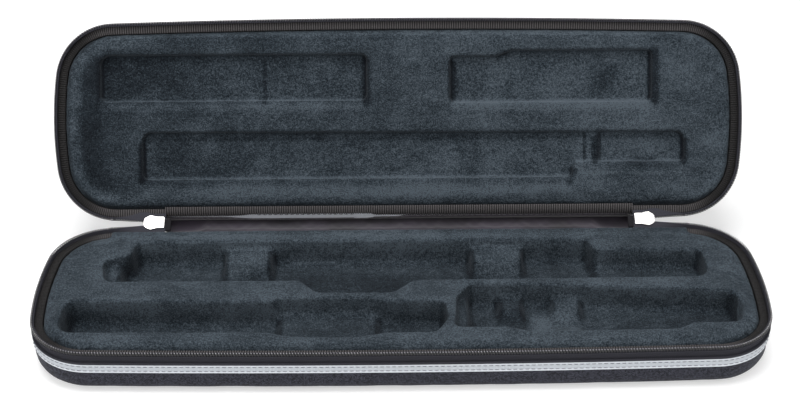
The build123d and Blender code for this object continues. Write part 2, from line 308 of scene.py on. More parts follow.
floorMaterial, floorTree = startMaterial("paleFloor", 0.9, **{
    "Base Color": studio["floor"], "Specular IOR Level": 0.1, "Emission Color": (1, 1, 1, 1)})
glow = times(floorTree, straightRays(floorTree), studio["floorGlow"])
floorTree.links.new(glow, floorTree.nodes["Principled BSDF"].inputs["Emission Strength"])
reach = studio["floorReach"]
corners = [(reach * x, reach * y, -studio["floorDrop"]) for x, y in ((-1, -1), (1, -1), (1, 1), (-1, 1))]
floor = meshObject("floor", corners, [(0, 1, 2, 3)])
floor.data.materials.append(floorMaterial)
print("camera, floor and light set")


# Shader groups shared by several cloths.

def newGroup(name, inputs, outputs):
    # Inputs are floats with their first values. Outputs are named with their kinds.
    group = bpy.data.node_groups.new(name, "ShaderNodeTree")
    for title, value in inputs.items():
        group.interface.new_socket(title, in_out="INPUT", socket_type="NodeSocketFloat").default_value = value
    for title, kind in outputs.items():
        group.interface.new_socket(title, in_out="OUTPUT", socket_type="NodeSocket" + kind)
    return group, group.nodes.new("NodeGroupInput").outputs


def closeGroup(group, **values):
    leave = group.nodes.new("NodeGroupOutput")
    for title, value in values.items():
        group.links.new(value, leave.inputs[title])
    return group


def useGroup(tree, group, **inputs):
    return fillTree(tree, "ShaderNodeGroup", inputs, node_tree=group).outputs


def makeSurfaceGroup():
    # Coordinates that lie in the surface: along the case or its end, and up the wall or across the top.
    group, entry = newGroup("alongSurface", {"Turn": 0.0}, {
        "U": "Float", "V": "Float", "Depth": "Float", "Place": "Vector"})
    coordinates = fillTree(group, "ShaderNodeTexCoord").outputs

    def turned(vector, centre):
        return fillTree(group, "ShaderNodeVectorRotate", {
            "Vector": vector, "Center": centre, "Angle": entry["Turn"]}, rotation_type="X_AXIS").outputs[0]

    place = turned(coordinates["Object"], hingePoint)
    at = fillTree(group, "ShaderNodeSeparateXYZ", {0: place}).outputs
    facing = fillTree(group, "ShaderNodeSeparateXYZ", {0: turned(coordinates["Normal"], (0, 0, 0))}).outputs
    nx, ny, nz = [mathNode(group, "ABSOLUTE", facing[i]) for i in range(3)]
    isEnd = mathNode(group, "GREATER_THAN", nx, mathNode(group, "MAXIMUM", ny, nz))
    isFlat = mathNode(group, "GREATER_THAN", nz, mathNode(group, "MAXIMUM", nx, ny))
    depth = mathNode(group, "ABSOLUTE", mathNode(group, "SUBTRACT", at[2], case["halfHeight"]))
    return closeGroup(group, U=choose(group, isEnd, at[0], at[1]), V=choose(group, isFlat, at[2], at[1]),
                      Depth=depth, Place=place)


def makeWeaveGroup():
    # A plain weave: threads cross over and under, and each has a slightly different tone.
    group, entry = newGroup("plainWeave", {"Turn": 0.0, "Thread": 0.0005}, {"Height": "Float", "Tone": "Float"})
    surface = useGroup(group, surfaceGroup, Turn=entry["Turn"])
    u, v = [mathNode(group, "DIVIDE", surface[way], entry["Thread"]) for way in ("U", "V")]
    across, along = [mathNode(group, "SINE", times(group, way, math.pi)) for way in (u, v)]
    height = plus(group, times(group, times(group, across, along), 0.5), 0.5)
    threads = fillTree(group, "ShaderNodeCombineXYZ", {
        0: mathNode(group, "FLOOR", u), 1: mathNode(group, "FLOOR", v)})
    speckle = fillTree(group, "ShaderNodeTexWhiteNoise", {"Vector": threads.outputs[0]}, noise_dimensions="2D")
    return closeGroup(group, Height=height, Tone=speckle.outputs["Value"])


def makeTwillGroup():
    # Fine diagonal ribs with small beads across them, as on woven tape.
    group, entry = newGroup("twill", {"Turn": 0.0, "Pitch": 0.001}, {"Height": "Float"})
    surface = useGroup(group, surfaceGroup, Turn=entry["Turn"])

    def wave(way, turns):
        share = mathNode(group, "DIVIDE", way, entry["Pitch"])
        return mathNode(group, "SINE", times(group, share, turns * 2 * math.pi))

    ridge = wave(plus(group, surface["U"], surface["V"]), 1)
    bead = wave(surface["V"], 2)
    return closeGroup(group, Height=plus(group, weighted(group, ridge, 0.38, bead, 0.12), 0.5))


pile = {"patches": 30.0, "streaks": 130.0, "clumps": 675.0, "fine": 1500.0, "brush": 0.9, "grain": 2.1}


def makePileGroup():
    # Short plush: brushed patches that lie different ways, streaks along the brush and fine pile.
    group, entry = newGroup("plushPile", {"Turn": 0.0}, {"Tone": "Float", "Height": "Float"})
    place = useGroup(group, surfaceGroup, Turn=entry["Turn"])["Place"]
    stretched = fillTree(group, "ShaderNodeMapping", {
        "Vector": place, "Rotation": (0.2, 0.1, 0.5), "Scale": (1.0, 2.2, 1.4)}).outputs[0]
    patches = cloudAt(group, place, pile["patches"], 3.0, Roughness=0.55, Distortion=1.2)
    streaks = cloudAt(group, stretched, pile["streaks"], 4.0, Roughness=0.6, Distortion=0.8)
    clumps = cloudAt(group, place, pile["clumps"], 2.0, Roughness=0.6)
    fine = cloudAt(group, place, pile["fine"], 2.0, Roughness=0.7)
    slow = weighted(group, patches, 0.6, streaks, 0.4)
    quick = weighted(group, clumps, 0.3, fine, 0.7)
    slowOff, quickOff = [mathNode(group, "SUBTRACT", value, 0.5) for value in (slow, quick)]
    tone = plus(group, weighted(group, slowOff, pile["brush"], quickOff, pile["grain"]), 0.5)
    return closeGroup(group, Tone=tone, Height=quick)


surfaceGroup = makeSurfaceGroup()
weaveGroup = makeWeaveGroup()
twillGroup = makeTwillGroup()
pileGroup = makePileGroup()


# Materials.

def toneRamp(tree, value, stops):
    ramp = fillTree(tree, "ShaderNodeValToRGB", {0: value})
    while len(ramp.color_ramp.elements) < len(stops):
        ramp.color_ramp.elements.new(0.5)
    for element, (position, colour) in zip(ramp.color_ramp.elements, stops):
        element.position = position
        element.color = (*colour, 1)
    return ramp.outputs[0]


def paint(tree, colour, height, distance, strength=1.0):
    # Colour and bump, both into the shader.
    shader = tree.nodes["Principled BSDF"]
    bump = fillTree(tree, "ShaderNodeBump", {"Height": height, "Strength": strength, "Distance": distance})
    tree.links.new(colour, shader.inputs["Base Color"])
    tree.links.new(bump.outputs[0], shader.inputs["Normal"])


def objectPlace(tree):
    return fillTree(tree, "ShaderNodeTexCoord").outputs["Object"]


def carried(tree, title):
    # A value that the mesh carries on its points.
    return fillTree(tree, "ShaderNodeAttribute", attribute_name=title).outputs["Fac"]


plush = {
    "black": (0.003, 0.004, 0.006), "dark": (0.013, 0.018, 0.023),
    "middle": (0.032, 0.042, 0.052), "light": (0.066, 0.082, 0.098),
    "sheen": (0.60, 0.70, 0.80, 1), "bump": 0.0010,
}
nylon = {"dark": (0.006, 0.006, 0.009), "light": (0.044, 0.046, 0.062), "thread": 0.00070, "flecks": 950.0,
         "bump": 0.00012}
tape = {"dark": (0.008, 0.008, 0.010), "light": (0.058, 0.058, 0.072), "pitch": 0.0011, "bump": 0.00018}
# Darker tones of the same tape for the folded ends: painted shade.
foldTape = {"dark": (0.004, 0.004, 0.005), "light": (0.016, 0.015, 0.018)}
# The coil's light tone is a painted highlight on the thread's heads.
coil = {"dark": (0.005, 0.005, 0.006), "middle": (0.022, 0.021, 0.023), "light": (0.36, 0.35, 0.37),
        "head": 0.0010, "grain": 420.0, "bump": 0.00002}
ribbing = {"dark": (0.005, 0.005, 0.005), "light": (0.090, 0.084, 0.086), "threads": 1600.0, "bump": 0.00006}
band = {"edge": (0.66, 0.69, 0.74), "middle": (0.47, 0.50, 0.54), "top": 0.0086, "bottom": 0.0141,
        "cloud": 260.0, "rib": 0.0008, "bump": 0.00005}
hingeCloth = {"dark": (0.010, 0.008, 0.012), "light": (0.030, 0.024, 0.035)}
foam = {"dark": (0.03, 0.03, 0.035), "light": (0.05, 0.05, 0.055)}
nickel = {"dark": (0.55, 0.54, 0.53), "light": (0.80, 0.79, 0.77)}
thread = {"dark": (0.05, 0.05, 0.055), "light": (0.10, 0.10, 0.105)}
paleThread = {"dark": (0.10, 0.11, 0.13), "light": (0.18, 0.19, 0.22)}


def makePlush(name, turn):
    material, tree = startMaterial(name, 0.95, **{
        "Sheen Weight": 0.10, "Sheen Roughness": 0.5, "Sheen Tint": plush["sheen"], "Specular IOR Level": 0.08})
    cloth = useGroup(tree, pileGroup, Turn=turn)
    # The pile's tone, with the painted light and shade that the mesh carries.
    colour = toneRamp(tree, plus(tree, cloth["Tone"], carried(tree, "napAndShade")), [
        (0.0, plush["black"]), (0.30, plush["dark"]), (0.5, plush["middle"]), (0.72, plush["light"])])
    paint(tree, colour, cloth["Height"], plush["bump"], 0.9)
    return material


def makeNylon(name, turn):
    material, tree = startMaterial(name, 0.62, **{"Specular IOR Level": 0.14})
    weave = useGroup(tree, weaveGroup, Turn=turn, Thread=nylon["thread"])
    flecks = cloudAt(tree, objectPlace(tree), nylon["flecks"], 1.0)
    mixed = plus(tree, weighted(tree, weave["Height"], 0.2, weave["Tone"], 0.5), times(tree, flecks, 0.3))
    colour = toneRamp(tree, mixed, [(0.25, nylon["dark"]), (0.75, nylon["light"])])
    paint(tree, colour, weave["Height"], nylon["bump"])
    return material


def makeTape(name, turn, tones):
    material, tree = startMaterial(name, 0.75, **{"Specular IOR Level": 0.12})
    height = useGroup(tree, twillGroup, Turn=turn, Pitch=tape["pitch"])["Height"]
    paint(tree, toneRamp(tree, height, [(0.1, tones["dark"]), (0.9, tones["light"])]), height, tape["bump"])
    return material


def makePlain(name, tones, roughness, scale, bump, **sockets):
    # A moulded or drawn surface with a faint cloudy tone and a fine grain.
    material, tree = startMaterial(name, roughness, **sockets)
    place = objectPlace(tree)
    colour = toneRamp(tree, cloudAt(tree, place, scale, 3.0), [(0.35, tones["dark"]), (0.65, tones["light"])])
    paint(tree, colour, cloudAt(tree, place, scale * 6, 2.0), bump)
    return material


def makeRibbing(name, turn):
    # Ribbed tape with a painted highlight on the crests of its ribs and painted shade where the band turns round the
    # ends.
    material, tree = startMaterial(name, 0.70, **{"Specular IOR Level": 0.10})
    threads = cloudAt(tree, useGroup(tree, surfaceGroup, Turn=turn)["Place"], ribbing["threads"], 2.0)
    mixed = weighted(tree, carried(tree, "paintedRibTone"), 0.7, threads, 0.35)
    colour = toneRamp(tree, mixed, [(0.15, ribbing["dark"]), (0.95, ribbing["light"])])
    paint(tree, colour, threads, ribbing["bump"])
    return material


def makeCoil(name, turn):
    # Dark moulded thread with a painted highlight on its heads, which lie nearest the parting plane where they mesh.
    material, tree = startMaterial(name, 0.28, **{"Specular IOR Level": 0.8})
    surface = useGroup(tree, surfaceGroup, Turn=turn)
    grain = cloudAt(tree, surface["Place"], coil["grain"], 2.0)
    # Painted highlight: the nearer the thread lies to the parting plane, the lighter it is.
    headHighlight = weighted(tree, surface["Depth"], 1 / coil["head"], grain, 0.5)
    colour = toneRamp(tree, headHighlight, [(0.25, coil["light"]), (0.85, coil["middle"]), (1.0, coil["dark"])])
    paint(tree, colour, grain, coil["bump"])
    return material


def makeBand(name, turn):
    # Light grey reflective tape with brighter borders and a close cross rib.
    material, tree = startMaterial(name, 0.38, **{"Specular IOR Level": 0.6})
    surface = useGroup(tree, surfaceGroup, Turn=turn)
    middle, halfWidth = (band["top"] + band["bottom"]) / 2, (band["bottom"] - band["top"]) / 2
    off = mathNode(tree, "ABSOLUTE", mathNode(tree, "SUBTRACT", surface["Depth"], middle))
    wavy = weighted(tree, off, 1 / halfWidth, cloudAt(tree, surface["Place"], band["cloud"], 3.0), 0.12)
    colour = toneRamp(tree, wavy, [
        (0.0, band["middle"]), (0.62, band["middle"]), (0.72, band["edge"]), (1.0, band["edge"])])
    ribs = mathNode(tree, "SINE", times(tree, surface["U"], 2 * math.pi / band["rib"]))
    paint(tree, colour, ribs, band["bump"])
    return material


def dress(nodeName, material):
    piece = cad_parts[nodeName]
    piece.data.materials.clear()
    piece.data.materials.append(material)


turns = {"base": 0.0, "lid": openTurn}
materials = {}
for half, turn in turns.items():
    materials[half + "Plush"] = makePlush(half + "Plush", turn)
    materials[half + "Nylon"] = makeNylon(half + "Nylon", turn)
    materials[half + "Tape"] = makeTape(half + "ZipTape", turn, tape)
    materials[half + "Band"] = makeBand(half + "ReflectiveBand", turn)
    materials[half + "Coil"] = makeCoil(half + "ZipCoil", turn)
    materials[half + "Ribbing"] = makeRibbing(half + "RibbedBinding", turn)
materials["tailCoil"] = makeCoil("tailCoil", openTurn / 2)
# A darker copy of the tape: painted shade on the folded ends.
materials["fold"] = makeTape("zipFold", openTurn / 2, foldTape)
materials["hinge"] = makePlain("hingeCloth", hingeCloth, 0.42, 60, 0.00006, **{"Sheen Weight": 0.15})
materials["foam"] = makePlain("foamBoard", foam, 0.85, 800, 0.0001)
materials["nickel"] = makePlain("nickel", nickel, 0.24, 220, 0.00001, Metallic=1.0)
materials["thread"] = makePlain("thread", thread, 0.6, 900, 0.00003)
materials["paleThread"] = makePlain("paleThread", paleThread, 0.6, 900, 0.00003)

for half in turns:
    dress(half + "_shell", materials["foam"])
    dress(half + "_insert", materials["foam"])
    dress(half + "_stripe", materials[half + "Band"])
for side in ("left", "right"):
    dress("slider_" + side, materials["nickel"])
    dress("pull_" + side, materials["nickel"])
print("materials made:", len(bpy.data.materials))


# Paths that lie in the surface, for what is laid along them.

# A frame is a place on a path, the way that a copy lies there and the way that it faces.

def rimFrames(samples, inset, height, crosswise=True):
    frames = []
    for point, outward in samples:
        out = Vector((outward.x, outward.y, 0))
        up = Vector((0, 0, 1))
        centre = Vector((point.x, point.y, height)) - out * inset
        frames.append((centre, out, up) if crosswise else (centre, out.cross(up), out))
    return frames


def addValues(mesh, title, values, kind="FLOAT"):
    layer = mesh.attributes.new(title, kind, "POINT")
    layer.data.foreach_set("vector" if kind == "FLOAT_VECTOR" else "value", values)


def pathObject(name, frames):
    mesh = bpy.data.meshes.new(name)
    mesh.from_pydata([tuple(f[0]) for f in frames], [(i, i + 1) for i in range(len(frames) - 1)], [])
    for title, which in (("lay", 1), ("facing", 2)):
        addValues(mesh, title, [value for f in frames for value in f[which]], "FLOAT_VECTOR")
    return addObject(name, mesh)


def newTree(name, *titles):
    tree = bpy.data.node_groups.new(name, "GeometryNodeTree")
    tree.interface.new_socket("Path", in_out="INPUT", socket_type="NodeSocketGeometry")
    for title in titles:
        kind = "NodeSocketInt" if title == "Seed" else "NodeSocketFloat"
        tree.interface.new_socket(title, in_out="INPUT", socket_type=kind)
    tree.interface.new_socket("Material", in_out="INPUT", socket_type="NodeSocketMaterial")
    tree.interface.new_socket("Geometry", in_out="OUTPUT", socket_type="NodeSocketGeometry")
    return tree, tree.nodes.new("NodeGroupInput").outputs


def endTree(tree, geometry, entry):
    real = fillTree(tree, "GeometryNodeRealizeInstances", {"Geometry": geometry})
    coloured = fillTree(tree, "GeometryNodeSetMaterial", {"Geometry": real.outputs[0], "Material": entry["Material"]})
    tree.links.new(coloured.outputs[0], tree.nodes.new("NodeGroupOutput").inputs[0])
    return tree


def vectorNode(tree, operation, first, second):
    inputs = {0: first, 3 if operation == "SCALE" else 1: second}
    return fillTree(tree, "ShaderNodeVectorMath", inputs, operation=operation).outputs[0]


def named(tree, title, kind="FLOAT_VECTOR"):
    return fillTree(tree, "GeometryNodeInputNamedAttribute", {"Name": title}, data_type=kind).outputs[0]


def evenLine(tree, entry, length):
    line = fillTree(tree, "GeometryNodeMeshToCurve", {"Mesh": entry["Path"]}).outputs[0]
    return fillTree(tree, "GeometryNodeResampleCurve", {"Curve": line, "Length": length}, mode="LENGTH").outputs[0]


def roundThread(tree, line, radius, sides):
    ring = fillTree(tree, "GeometryNodeCurvePrimitiveCircle", {"Resolution": sides, "Radius": radius}, mode="RADIUS")
    return fillTree(tree, "GeometryNodeCurveToMesh", {
        "Curve": line, "Profile Curve": ring.outputs[0], "Fill Caps": True}).outputs[0]


def moved(tree, geometry, offset):
    return fillTree(tree, "GeometryNodeSetPosition", {"Geometry": geometry, "Offset": offset}).outputs[0]


coilSteps, coilSides, stitchSides, stitchSteps = 10, 5, 6, 4


def makeCoilTree():
    # One thread that winds round the path, as the moulded coil of a zip does.
    tree, entry = newTree("windCoil", "Pitch", "Half Width", "Half Height", "Thread")
    even = evenLine(tree, entry, mathNode(tree, "DIVIDE", entry["Pitch"], coilSteps))
    index = fillTree(tree, "GeometryNodeInputIndex").outputs[0]
    turn = times(tree, mathNode(tree, "DIVIDE", index, coilSteps), 2 * math.pi)
    wide = times(tree, mathNode(tree, "COSINE", turn), entry["Half Width"])
    high = times(tree, mathNode(tree, "SINE", turn), entry["Half Height"])
    offset = vectorNode(tree, "ADD", vectorNode(tree, "SCALE", named(tree, "lay"), wide),
                        vectorNode(tree, "SCALE", named(tree, "facing"), high))
    return endTree(tree, roundThread(tree, moved(tree, even, offset), entry["Thread"], coilSides), entry)


def makeRowTree():
    # Low arched bars laid at an even pitch: stitches along a seam.
    tree, entry = newTree("layRow", "Pitch", "Length", "Rise", "Thread", "Wander", "Seed")
    even = evenLine(tree, entry, entry["Pitch"])
    half = times(tree, entry["Length"], 0.5)
    low = times(tree, entry["Rise"], -1.0)
    start = fillTree(tree, "ShaderNodeCombineXYZ", {0: times(tree, half, -1.0), 2: low})
    middle = fillTree(tree, "ShaderNodeCombineXYZ", {2: times(tree, entry["Rise"], 2.0)})
    end = fillTree(tree, "ShaderNodeCombineXYZ", {0: half, 2: low})
    arch = fillTree(tree, "GeometryNodeCurveQuadraticBezier", {
        "Resolution": stitchSteps, "Start": start.outputs[0], "Middle": middle.outputs[0], "End": end.outputs[0]})
    stitch = roundThread(tree, arch.outputs[0], entry["Thread"], stitchSides)
    wander = fillTree(tree, "FunctionNodeRandomValue", {
        "Min": times(tree, entry["Wander"], -1.0), "Max": entry["Wander"], "Seed": entry["Seed"]}, data_type="FLOAT")
    lay, facing = named(tree, "lay"), named(tree, "facing")
    aside = vectorNode(tree, "CROSS_PRODUCT", lay, facing)
    way = vectorNode(tree, "ADD", lay, vectorNode(tree, "SCALE", aside, wander.outputs[1]))
    stand = fillTree(tree, "FunctionNodeAxesToRotation", {
        "Primary Axis": facing, "Secondary Axis": way}, primary_axis="Z", secondary_axis="X")
    row = fillTree(tree, "GeometryNodeInstanceOnPoints", {
        "Points": even, "Instance": stitch, "Rotation": stand.outputs[0]})
    return endTree(tree, row.outputs[0], entry)


def makeRibTree():
    # Raises even ribs across a strip. The strip carries its length so far and how far each point may rise.
    tree, entry = newTree("raiseRibs", "Pitch", "Height")
    turns = times(tree, mathNode(tree, "DIVIDE", named(tree, "along", "FLOAT"), entry["Pitch"]), 2 * math.pi)
    wave = times(tree, mathNode(tree, "COSINE", turns), entry["Height"])
    facing = fillTree(tree, "GeometryNodeInputNormal").outputs[0]
    rise = vectorNode(tree, "SCALE", facing, times(tree, wave, named(tree, "crown", "FLOAT")))
    return endTree(tree, moved(tree, entry["Path"], rise), entry)


def makePileTree():
    # Small uneven lumps all over a plush skin, in two sizes.
    tree, entry = newTree("roughenPile", "Lumps", "Lump Height", "Tufts", "Tuft Height", "Seed")
    shares = []
    for size, height in (("Lumps", "Lump Height"), ("Tufts", "Tuft Height")):
        cloud = fillTree(tree, "ShaderNodeTexNoise", {
            "W": entry["Seed"], "Scale": entry[size], "Detail": 1.5, "Roughness": 0.5}, noise_dimensions="4D")
        shares.append(times(tree, mathNode(tree, "SUBTRACT", cloud.outputs[0], 0.5), entry[height]))
    facing = fillTree(tree, "GeometryNodeInputNormal").outputs[0]
    rough = moved(tree, entry["Path"], vectorNode(tree, "SCALE", facing, plus(tree, *shares)))
    smooth = fillTree(tree, "GeometryNodeSetShadeSmooth", {"Geometry": rough})
    return endTree(tree, smooth.outputs[0], entry)


def runTree(piece, tree, values):
    # Runs a tree on a piece and keeps the result as a plain mesh under the same name.
    modifier = piece.modifiers.new(tree.name, "NODES")
    modifier.node_group = tree
    for item in tree.interface.items_tree:
        if item.in_out == "INPUT" and item.name in values:
            modifier[item.identifier] = values[item.name]
    return settle(piece)


def settle(piece):
    bpy.context.view_layer.update()
    result = piece.evaluated_get(bpy.context.evaluated_depsgraph_get())
    mesh = bpy.data.meshes.new_from_object(result)
    piece.modifiers.clear()
    piece.data = mesh
    mesh.name = piece.name
    mesh.polygons.foreach_set("use_smooth", [True] * len(mesh.polygons))
    return piece


def joinPieces(name, pieces):
    # Several meshes become one, with each material kept on its own faces.
    edit = bmesh.new()
    slots = []
    for piece in pieces:
        first = len(edit.faces)
        edit.from_mesh(piece.data)
        edit.faces.ensure_lookup_table()
        given = list(piece.data.materials)
        for face in edit.faces[first:]:
            material = given[face.material_index] if given else None
            if material not in slots:
                slots.append(material)
            face.material_index = slots.index(material)
        bpy.data.objects.remove(piece)
    mesh = bpy.data.meshes.new(name)
    edit.to_mesh(mesh)
    edit.free()
    for material in slots:
        mesh.materials.append(material)
    return addObject(name, mesh)


def give(piece, body, slot, *nodes):
    # What every finished piece needs: its body and the imported pieces that it stands for. The slot, which names its
    # finish, is not used.
    if nodes:
        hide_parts(*nodes)
    if body:
        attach(piece, body)
    return piece


coilTree = makeCoilTree()
rowTree = makeRowTree()
ribTree = makeRibTree()
pileTree = makePileTree()


# Zip coils round both rims.

zipCoil = {
    "pitch": 0.0016,
    "inset": 0.0008,
    "height": 0.0273,
    "halfWidth": 0.00040,
    "halfHeight": 0.00088,
    "thread": 0.00034,
}


def windCoil(name, frames, material):
    return runTree(pathObject(name, frames), coilTree, {
        "Pitch": zipCoil["pitch"], "Half Width": zipCoil["halfWidth"], "Half Height": zipCoil["halfHeight"],
        "Thread": zipCoil["thread"], "Material": material})


coilFrames = rimFrames(openRim(0.002, case["zipEnd"]), zipCoil["inset"], zipCoil["height"])
baseCoil = windCoil("base_coil_thread", coilFrames, materials["baseCoil"])
lidCoil = copyToLid(baseCoil, "lid_coil_thread")
lidCoil.data.materials[0] = materials["lidCoil"]
give(baseCoil, "base", "zip_nylon", "base_zip_coil")
give(lidCoil, "lid", "zip_nylon", "lid_zip_coil")
print("zip coils wound:", len(baseCoil.data.polygons), "faces each")


# Free ends of the zip between the corners and the sliders.

zipTail = {
    "inside": 0.1427,
    "nose": 0.155,
    "step": 0.001,
    "coil": {"outward": -0.0002, "below": 0.00125, "inset": zipCoil["inset"], "height": zipCoil["height"]},
    "tape": {"outward": -0.00135, "below": 0.00215, "inset": 0.00185, "height": 0.02605},
    "tapeSection": (-0.00025, 0.00025, -0.0041, 0.0016),
    "standOff": [(0.1432, 0.00005), (0.1510, 0.00005), (0.1532, 0.0010), (0.1564, 0.0011)],
}


def fromMidway(x, outward, rise):
    turned = Matrix.Rotation(-openTurn / 2, 3, "X") @ Vector((0, outward, rise))
    return Vector((x, hingePoint.y + turned.y, hingePoint.z + turned.z))


def tailFrames(side, part, fromX, toX):
    # Follows the strand from the slider out to the corner, where it meets the rim.
    outward, below = zipTail[part]["outward"], zipTail[part]["below"]
    rimPlace = (case["halfDepth"] - zipTail[part]["inset"], zipTail[part]["height"])
    stations = zipTail["standOff"]

    def placeAt(x):
        if x >= case["zipEnd"]:
            return Vector((x, *rimPlace)), 0.0
        if x >= stations[-1][0]:
            share = (x - stations[-1][0]) / (case["zipEnd"] - stations[-1][0])
            near = fromMidway(x, outward, -stations[-1][1] - below)
            return near.lerp(Vector((x, *rimPlace)), share), 1 - share
        for (x0, s0), (x1, s1) in zip(stations, stations[1:]):
            if x <= x1:
                share = (x - x0) / (x1 - x0)
                return fromMidway(x, outward, -(s0 + (s1 - s0) * share) - below), 1.0

    frames = []
    count = max(2, round((toX - fromX) / zipTail["step"]))
    for i in range(count + 1):
        place, share = placeAt(fromX + (toX - fromX) * i / count)
        turn = Matrix.Rotation(-openTurn / 2 * share, 3, "X")
        place.x *= side
        frames.append((place, turn @ Vector((0, 1, 0)), turn @ Vector((0, 0, 1))))
    return frames


def frameStrip(name, frames, near, far, low, high):
    # A flat tape along frames: thick along the first way, wide along the second.
    corners = ((near, low), (far, low), (far, high), (near, high))
    rows = [[centre + out * a + up * b for a, b in corners] for centre, out, up in frames]
    return ringMesh(name, rows, smooth=False)


def strand(name, side, fromX, toX):
    # Coil and tape of one strand, together.
    tapePiece = frameStrip(name + "_tape", tailFrames(side, "tape", fromX, toX), *zipTail["tapeSection"])
    tapePiece.data.materials.append(materials["baseTape"])
    coilPiece = windCoil(name + "_coil", tailFrames(side, "coil", fromX, toX), materials["tailCoil"])
    return joinPieces(name, [coilPiece, tapePiece])


zipEdge = case["zipEnd"]
for side, sign in (("left", -1), ("right", 1)):
    tail = "zip_tail_" + side
    lower = strand(tail + "_lower", sign, zipTail["inside"], zipEdge)
    upper = moveToLid(strand(tail + "_upper_source", sign, zipTail["nose"], zipEdge), tail + "_upper")
    held = moveToLid(strand(tail + "_inner_source", sign, zipTail["inside"], zipTail["nose"]), tail + "_held")
    give(lower, None, "zip_cloth", tail)
    give(upper, None, "zip_cloth", tail)
    give(held, "zip_end_" + side, "zip_cloth", tail)
    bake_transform(lower)
    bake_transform(upper)
print("free ends of the zip made")


# Ribbed binding: a flange round the rim, and on the lid a wider band that wraps the spine.

binding = {
    "pitch": 0.0014,
    "ribHeight": 0.00022,
    "ribSteps": 6,
    "top": 0.02535,
    "outer": 0.0022,
    "inner": 0.0069,
    "lap": 0.0082,
    "lapTop": 0.0262,
    # Painted shade on the ribs where the band turns round the ends, and over what share of the turn it comes in.
    "endShade": 0.85,
    "endTurn": (0.15, 0.7),
}
slopeFoot = Vector((0.0009, 0.0191))
slopeRim = Vector((0.0044, 0.0246))
slopeWay = (slopeRim - slopeFoot).normalized()
slopeOut = Vector((-slopeWay.y, slopeWay.x))


def onSlope(along, lift):
    # (inset, height) of a point on the sloping wall at the spine, from its foot up.
    place = slopeFoot + slopeWay * along + slopeOut * lift
    return (place.x, place.y)


def eased(value, low, high):
    share = min(1.0, max(0.0, (value - low) / (high - low)))
    return share * share * (3 - 2 * share)


def alongTable(table, x):
    if x <= table[0][0]:
        return table[0][1]
    for (x0, y0), (x1, y1) in zip(table, table[1:]):
        if x <= x1:
            return y0 + (y1 - y0) * eased(x, x0, x1)
    return table[-1][1]


def slopeFrames(fromX, toX, count, alongAt, lift):
    # Places along the spine's slope, for stitches that stand on it.
    frames = []
    for i in range(count + 1):
        x = fromX + (toX - fromX) * i / count
        w, z = onSlope(alongAt(x), lift)
        place = Vector((x, case["halfDepth"] - w, z))
        frames.append((place, Vector((1, 0, 0)), Vector((0, -slopeOut.x, slopeOut.y))))
    return frames


# How far up the slope the binding ends and the facing of the hinge begins, by x, in metres.
bindingEdge = [
    (-0.143, 0.0042), (-0.103, 0.0044), (-0.086, 0.0064), (-0.019, 0.0064), (-0.014, 0.0044), (0.048, 0.0044),
    (0.060, 0.0040), (0.143, 0.0040),
]
facingEdge = [
    (-0.143, 0.0029), (-0.112, 0.0026), (-0.088, 0.0002), (-0.021, 0.0002), (-0.014, 0.0014), (-0.002, 0.0014),
    (0.004, 0.0034), (0.048, 0.0036), (0.060, 0.0039), (0.143, 0.0039),
]


def ribbedStrip(name, samples, profile):
    # Like sweptStrip, with the length so far, the ribs' share and a painted tone on each point: painted highlight on
    # the crests and painted shade where the strip turns round the ends.
    made = sweptStrip(name, samples, lambda p, n: [(w, z) for w, z, share in profile(p, n)])
    wide = len(profile(*samples[0]))
    lengths, paintedRibTones, total = [], [], 0.0
    for i, (point, outward) in enumerate(samples):
        if i:
            total += (point - samples[i - 1][0]).length
        lengths += [total] * wide
        # Painted highlight on each rib's crest, dimmed by painted shade where the strip faces the ends.
        light = 0.5 + 0.5 * math.cos(2 * math.pi * total / binding["pitch"])
        paintedRibTones += [light * (1 - binding["endShade"] * eased(abs(outward.x), *binding["endTurn"]))] * wide
    addValues(made.data, "along", lengths)
    addValues(made.data, "crown", [share for sample in samples for w, z, share in profile(*sample)])
    addValues(made.data, "paintedRibTone", paintedRibTones)
    return runTree(made, ribTree, {
        "Pitch": binding["pitch"], "Height": binding["ribHeight"], "Material": materials["baseRibbing"]})


def rimProfile(point, outward):
    top, outer, inner = binding["top"], binding["outer"], binding["inner"]
    return [
        (outer, 0.0247, 0.0), (outer, top - 0.0002, 1.0), (outer + 0.0005, top, 1.0),
        ((outer + inner) / 2, top + 0.0001, 1.0), (inner - 0.0005, top, 1.0), (inner, top - 0.0003, 0.4),
        (inner, 0.0200, 0.0), (inner - 0.0006, 0.0200, 0.0), (inner - 0.0007, 0.0247, 0.0),
    ]


def spineProfile(point, outward):
    edge = alongTable(bindingEdge, point.x)
    lap, lapTop = binding["lap"], binding["lapTop"]
    return [
        (*onSlope(edge, 0.0006), 0.0), (*onSlope(edge, 0.0011), 1.0),
        (*onSlope(min(edge + 0.0012, 0.0064), 0.0012), 1.0), (0.0043, 0.0256, 1.0), (0.0056, 0.0260, 1.0), (lap - 0.0008, lapTop, 1.0), (lap, lapTop - 0.0002, 0.6),
        (lap, 0.0250, 0.0), (0.0069, 0.0247, 0.0), (0.0050, 0.0247, 0.0),
    ]


ribStep = binding["pitch"] / binding["ribSteps"]
baseBinding = ribbedStrip("base_ribbed_binding", openRim(ribStep, case["stripHalf"]), rimProfile)
lidRim = copyToLid(baseBinding, "lid_rim_binding")
spineSource = ribbedStrip("spine_source", spineSamples(case["stripHalf"], ribStep), spineProfile)
spineBand = moveToLid(spineSource, "lid_spine_band")
lidBinding = joinPieces("lid_ribbed_binding", [lidRim, spineBand])
lidBinding.data.materials[0] = materials["lidRibbing"]
give(baseBinding, "base", "ribbed_binding", "base_binding")
give(lidBinding, "lid", "ribbed_binding", "lid_binding")
print("ribbed bindings made:", len(baseBinding.data.polygons), "and", len(lidBinding.data.polygons), "faces")


# Zip tapes on the walls, with a woven edge.

